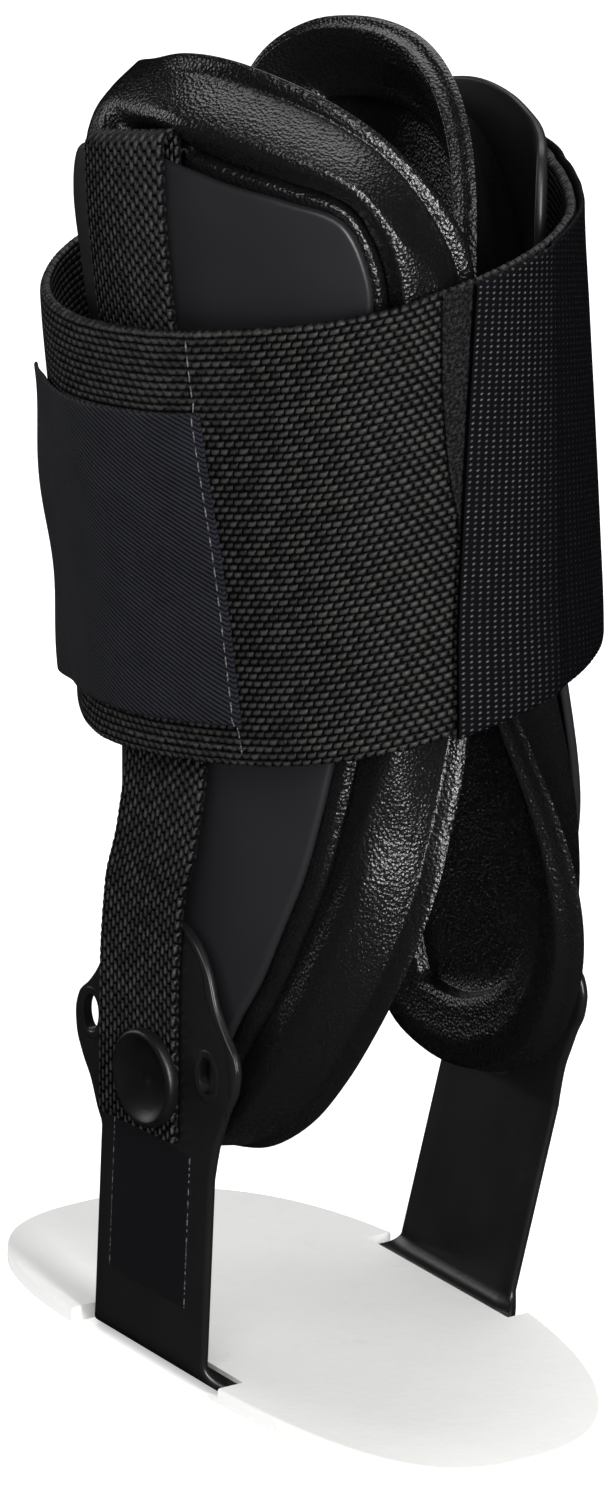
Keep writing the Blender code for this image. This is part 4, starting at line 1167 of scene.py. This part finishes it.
def make_stirrup(material):
    """One strip, rounded along its edges, bent to a U and widened to the two heads."""
    rows = stirrup_rows()
    half = STIRRUP_THICK / 2
    rings = []
    for i, (y, z, rear, front) in enumerate(rows):
        y0, z0 = rows[max(i - 1, 0)][:2]
        y1, z1 = rows[min(i + 1, len(rows) - 1)][:2]
        run = Vector((y1 - y0, z1 - z0)).normalized()
        section = []
        round_over = min(EDGE_ROUND, (front - rear) / 2.2)
        for x, way in ((front, 1), (rear, -1)):
            for angle in np.linspace(90, -90, 9):
                turn = math.radians(angle) * way
                section.append((x - way * round_over * (1 - math.cos(turn)),
                                half * math.sin(turn)))
            flat = np.linspace(section[-1][0], (rear if way > 0 else front)
                               + way * round_over, 10)[1:-1]
            section += [(x_flat, -half * way) for x_flat in flat]
        rings.append([(x, y + run[1] * t, z - run[0] * t) for x, t in section])
    stirrup = lofted("stirrup_strip", rings, material, smooth_angle=50.0)
    for side in (-1, 1):
        mid = STIRRUP_WIDTH / 2 + side_lean(side)
        cut(stirrup, turned("hole", [(SHANK_RADIUS + GAP, mid + 4 * MM),
                                     (SHANK_RADIUS + GAP, mid - 6 * MM)], side, None, 32))
        for middle in eyelet_middles(side):
            y = side * mid
            cut(stirrup, lofted("eyelet", [oval(middle, EYELET_WIDTH, EYELET_HEIGHT, y + 4 * MM),
                                           oval(middle, EYELET_WIDTH, EYELET_HEIGHT, y - 6 * MM)],
                                None))
    stirrup.data.shade_smooth()
    stirrup.data.set_sharp_from_angle(angle=math.radians(40.0))
    return stirrup


def make_eyelet_rims(side, material):
    """Raised crescents round the eyelets, sunk half into the head."""
    rims = []
    for place, middle in zip(("rear", "front"), eyelet_middles(side)):
        rings = []
        for angle in np.linspace(0, 2 * math.pi, 56, endpoint=False):
            swell = 0.45 + 0.55 * (0.5 - 0.5 * math.sin(angle - 0.6))
            wide, tall = RIM_BREADTH * swell, RIM_RISE * swell
            ring = []
            for turn in np.linspace(0, 2 * math.pi, 12, endpoint=False):
                out = RIM_REACH + wide * math.cos(turn)
                ring.append((middle[0] + (EYELET_WIDTH / 2 + out) * math.cos(angle),
                             middle[1] + side * (tall * math.sin(turn) - RIM_SINK),
                             middle[2] + (EYELET_HEIGHT / 2 + out) * math.sin(angle)))
            rings.append(ring)
        rims.append(lofted(side_name(side) + "_" + place + "_eyelet_rim", rings, material,
                           closed=True))
    return rims


def make_film(material):
    """Thin film on the outer arm."""
    face = -STIRRUP_WIDTH / 2
    middle = -ARM_BACK - STICKER_BACK
    return box_piece("arm_sticker_film",
                     (middle - STICKER_WIDTH / 2, face - 0.08 * MM, STICKER_LOW),
                     (middle + STICKER_WIDTH / 2, face + STICKER_THICK, STICKER_HIGH), material)


def make_head_lip(material):
    """Wavy raised lip on the front edge of the outer head."""
    heights = np.linspace(LIP_ROWS[0][0], LIP_ROWS[-1][0], 90)
    table = [(row[0], row[2] * HEAD_HALF_BREADTH) for row in HEAD_ROWS]
    fronts = read_rows(table, np.clip(heights, 0, 1))
    swell = np.maximum(read_rows(LIP_ROWS, heights), 0.03) * LIP_THICK
    rings = []
    for up, front, thick in zip(heights, fronts, swell):
        turns = np.linspace(0, 2 * math.pi, 16, endpoint=False)
        rings.append(np.stack([
            front - LIP_SPREAD * thick + LIP_SPREAD * thick * np.cos(turns),
            -STIRRUP_WIDTH / 2 + LIP_SINK + (thick + LIP_ROOT) * np.sin(turns),
            np.full(16, HINGE_HEIGHT + up * HEAD_RISE)], axis=1))
    return lofted("head_front_lip", rings, material)


def make_sole(material):
    """Foam sole with a soft edge, a notch for each arm and a channel for the base."""
    angles = 2 * math.pi * (np.arange(220) + 0.5) / 220
    cosine, sine = np.cos(angles), np.sin(angles)
    along = np.sign(cosine) * np.abs(cosine) ** (2 / PAD_SQUARENESS)
    across = np.sign(sine) * np.abs(sine) ** (2 / PAD_SQUARENESS) * (1 - PAD_TAPER * along)
    outline = np.stack([along * PAD_LENGTH / 2 + PAD_FORWARD,
                        across * PAD_WIDTH / 2 - PAD_BOW * along ** 2], axis=1)
    rings = []
    turns = [(PAD_ROUND * (1 - math.sin(a)), PAD_ROUND * (1 - math.cos(a)))
             for a in np.linspace(0, math.pi / 2, 5)]
    section = [(30 * MM, 0.0), (12 * MM, 0.0)] + turns
    section += [(inwards, PAD_THICK - z) for inwards, z in reversed(turns)]
    section += [(12 * MM, PAD_THICK), (30 * MM, PAD_THICK)]
    for inwards, z in section:
        points = inset(outline, inwards) if inwards < 1 * MM else shrink(
            outline, 1 - inwards / (40 * MM))
        rings.append(np.column_stack([points, np.full(len(points), z)]))
    sole = lofted("foot_sole", rings, material)
    channel = BASE_BREADTH / 2 + GAP
    cut(sole, box_piece("slot", (-ARM_BACK - channel, -STIRRUP_WIDTH, -5 * MM),
                        (-ARM_BACK + channel, STIRRUP_WIDTH, STIRRUP_THICK + GAP)))
    for side in (-1, 1):
        near = STIRRUP_WIDTH / 2 - STIRRUP_THICK - BEND_RADIUS + 2 * GAP
        ends = sorted((side * near, side * STIRRUP_WIDTH))
        cut(sole, box_piece("notch", (-ARM_BACK - channel - GAP, ends[0], -4 * MM),
                            (-ARM_BACK + channel + GAP, ends[1], PAD_THICK + 5 * MM)))
    sole.data.shade_smooth()
    sole.data.set_sharp_from_angle(angle=math.radians(40.0))
    return sole


# Stitches

def stitch_tree():
    """Stitches along a guide line: capsules at even spacing, turned along it."""
    tree = bpy.data.node_groups.new("stitches", "GeometryNodeTree")
    face = tree.interface
    face.new_socket("Guide", in_out="INPUT", socket_type="NodeSocketGeometry")
    for name, value in (("Spacing", 0.003), ("Length", 0.002), ("Radius", 0.0003)):
        face.new_socket(name, in_out="INPUT", socket_type="NodeSocketFloat").default_value = value
    face.new_socket("Thread", in_out="INPUT", socket_type="NodeSocketMaterial")
    face.new_socket("Stitches", in_out="OUTPUT", socket_type="NodeSocketGeometry")

    def add(kind, **settings):
        node = tree.nodes.new(kind)
        for name, value in settings.items():
            setattr(node, name, value)
        return node

    start, end = add("NodeGroupInput"), add("NodeGroupOutput")
    curve = add("GeometryNodeMeshToCurve")
    points = add("GeometryNodeCurveToPoints", mode="LENGTH")
    ball = add("GeometryNodeMeshIcoSphere")
    ball.inputs["Subdivisions"].default_value = 2
    ball.inputs["Radius"].default_value = 1.0
    size = add("ShaderNodeCombineXYZ")
    copies = add("GeometryNodeInstanceOnPoints")
    real = add("GeometryNodeRealizeInstances")
    paint = add("GeometryNodeSetMaterial")
    half = add("ShaderNodeMath", operation="MULTIPLY")
    half.inputs[1].default_value = 0.5
    link = tree.links.new
    link(start.outputs["Guide"], curve.inputs["Mesh"])
    link(curve.outputs["Curve"], points.inputs["Curve"])
    link(start.outputs["Spacing"], points.inputs["Length"])
    link(points.outputs["Points"], copies.inputs["Points"])
    link(points.outputs["Rotation"], copies.inputs["Rotation"])
    link(ball.outputs["Mesh"], copies.inputs["Instance"])
    link(start.outputs["Length"], half.inputs[0])
    link(start.outputs["Radius"], size.inputs[0])
    link(start.outputs["Radius"], size.inputs[1])
    link(half.outputs[0], size.inputs[2])
    link(size.outputs[0], copies.inputs["Scale"])
    link(copies.outputs["Instances"], real.inputs["Geometry"])
    link(real.outputs["Geometry"], paint.inputs["Geometry"])
    link(start.outputs["Thread"], paint.inputs["Material"])
    link(paint.outputs["Geometry"], end.inputs["Stitches"])
    return tree


def sew(name, points, tree, material, radius):
    """Stitches along a line of points."""
    mesh = bpy.data.meshes.new(name)
    mesh.from_pydata([tuple(p) for p in points], [(i, i + 1) for i in range(len(points) - 1)], [])
    thing = bpy.data.objects.new(name, mesh)
    bpy.context.scene.collection.objects.link(thing)
    modifier = thing.modifiers.new("stitches", "NODES")
    modifier.node_group = tree
    values = {"Spacing": STITCH_SPACING, "Length": STITCH_LENGTH, "Radius": radius,
              "Thread": material}
    for item in tree.interface.items_tree:
        if item.name in values:
            modifier[item.identifier] = values[item.name]
    settle(thing)
    return thing


def main():
    strap_material = wide_weave()
    tab_material = hook_knit()
    pile_material = brushed_pile()
    satin_material = label_satin()
    narrow_material = narrow_weave()
    foam_material = foam_skin()
    shell_material = shell_plastic()
    rivet_material = rivet_plastic()
    stirrup_material = moulded_plastic()
    pale_thread = thread("label_thread", (0.008, 0.008, 0.009), (0.16, 0.16, 0.17))
    dark_thread = thread("strap_thread", (0.006, 0.006, 0.007), (0.05, 0.05, 0.055))

    strap, strap_length = make_calf_strap(strap_material)
    tab, tab_length = make_tab(tab_material)
    lining, lining_length = make_lining(pile_material)
    label, label_length = make_label(satin_material)
    for piece, node, slot in ((strap, "calf_strap", "weave"), (tab, "closure_tab", "hook_tape"),
                              (lining, "closure_lining", "loop_pile"),
                              (label, "woven_label", "satin")):
        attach(piece, "cuff")
        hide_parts(node)

    for side in (-1, 1):
        name = side_name(side)
        shell = make_shell(side, shell_material)
        pad = make_pad(side, foam_material)
        webbing, length = make_webbing(side, narrow_material)
        rivet = make_rivet(side, rivet_material)
        for piece, node, slot in ((shell, "_shell", "shell_plastic"), (pad, "_pad", "foam"),
                                  (webbing, "_webbing", "weave"),
                                  (rivet, "_rivet", "rivet_plastic")):
            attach(piece, "cuff")
            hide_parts(name + node)

    stirrup = make_stirrup(stirrup_material)
    sole = make_sole(sole_foam())
    sole.visible_glossy = False
    film = make_film(dark_film())
    for piece, node, slot in ((stirrup, "stirrup", "stirrup_plastic"),
                              (sole, "foot_pad", "sole_foam"), (film, "arm_sticker", "sticker")):
        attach(piece, "footplate")
        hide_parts(node)
    trims = [make_head_lip(stirrup_material)]
    for side in (-1, 1):
        trims += make_eyelet_rims(side, stirrup_material)
    for trim in trims:
        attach(trim, "footplate")

    tree = stitch_tree()
    ups = np.linspace(0.97, 0.045, 60)
    hem = np.radians(read_rows(LABEL_FRONT_ROWS, ups) - 1.6)
    lift = np.where((ups > LABEL_LOW) & (ups < LABEL_HIGH), LABEL_THICK + LAYER_GAP, 0.0)
    down = strap_points(hem, ups, lift + 0.2 * MM)
    foot = strap_points(np.radians(np.linspace(301.0, 262.0, 40)), 0.045, 0.2 * MM)
    for name, points, material, radius in (("label_hem_stitches", down, pale_thread, 0.16 * MM),
                                           ("strap_foot_stitches", foot, dark_thread, 0.3 * MM)):
        stitches = sew(name, points, tree, material, radius)
        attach(stitches, "cuff")


# Stage

def camera_axes():
    back = Vector((math.sin(CAMERA_AZIMUTH) * math.cos(CAMERA_ELEVATION),
                   -math.cos(CAMERA_AZIMUTH) * math.cos(CAMERA_ELEVATION),
                   math.sin(CAMERA_ELEVATION)))
    level = Vector((math.cos(CAMERA_AZIMUTH), math.sin(CAMERA_AZIMUTH), 0.0))
    rise = back.cross(level)
    right = math.cos(CAMERA_ROLL) * level + math.sin(CAMERA_ROLL) * rise
    up = math.cos(CAMERA_ROLL) * rise - math.sin(CAMERA_ROLL) * level
    return right, up, back


def place_camera():
    right, up, back = camera_axes()
    data = bpy.data.cameras.new("camera")
    data.lens = CAMERA_LENS
    data.sensor_width = 36.0
    data.clip_end = 20.0
    camera = bpy.data.objects.new("camera", data)
    bpy.context.scene.collection.objects.link(camera)
    camera.matrix_world = Matrix((right, up, back)).transposed().to_4x4()
    camera.location = CAMERA_TARGET + back * CAMERA_DISTANCE
    bpy.context.scene.camera = camera


def softbox(name, across, up, near, size, power):
    """Area light at a place given along the camera's axes, aimed at the brace."""
    right, rise, back = camera_axes()
    data = bpy.data.lights.new(name, "AREA")
    data.shape = "RECTANGLE"
    data.size, data.size_y = size
    data.energy = power
    lamp = bpy.data.objects.new(name, data)
    bpy.context.scene.collection.objects.link(lamp)
    lamp.location = CAMERA_TARGET + right * across + rise * up + back * near
    aim = CAMERA_TARGET - lamp.location
    lamp.rotation_mode = "QUATERNION"
    lamp.rotation_quaternion = aim.to_track_quat("-Z", "Y")


def dress_stage():
    bm = bmesh.new()
    bmesh.ops.create_grid(bm, x_segments=1, y_segments=1, size=FLOOR_HALF)
    mesh = bpy.data.meshes.new("floor")
    bm.to_mesh(mesh)
    bm.free()
    mesh.transform(Matrix.Translation((0, 0, -FLOOR_DROP)))
    mesh.materials.append(floor_paper())
    floor = bpy.data.objects.new("floor", mesh)
    bpy.context.scene.collection.objects.link(floor)
    floor.visible_glossy = False        # the black pieces mirror no pale floor
    world = bpy.data.worlds.new("studio")
    bpy.context.scene.world = world
    world.use_nodes = True
    tree = world.node_tree
    light = tree.nodes["Background"]
    light.inputs["Color"].default_value = (1.0, 1.0, 1.0, 1.0)
    light.inputs["Strength"].default_value = WORLD_LIGHT
    world.cycles_visibility.glossy = False      # nor a pale sky
    for name, values in LIGHTS.items():
        softbox(name, *values)
    bpy.context.scene.view_settings.view_transform = "Standard"


place_camera()
dress_stage()
main()
bpy.context.view_layer.update()
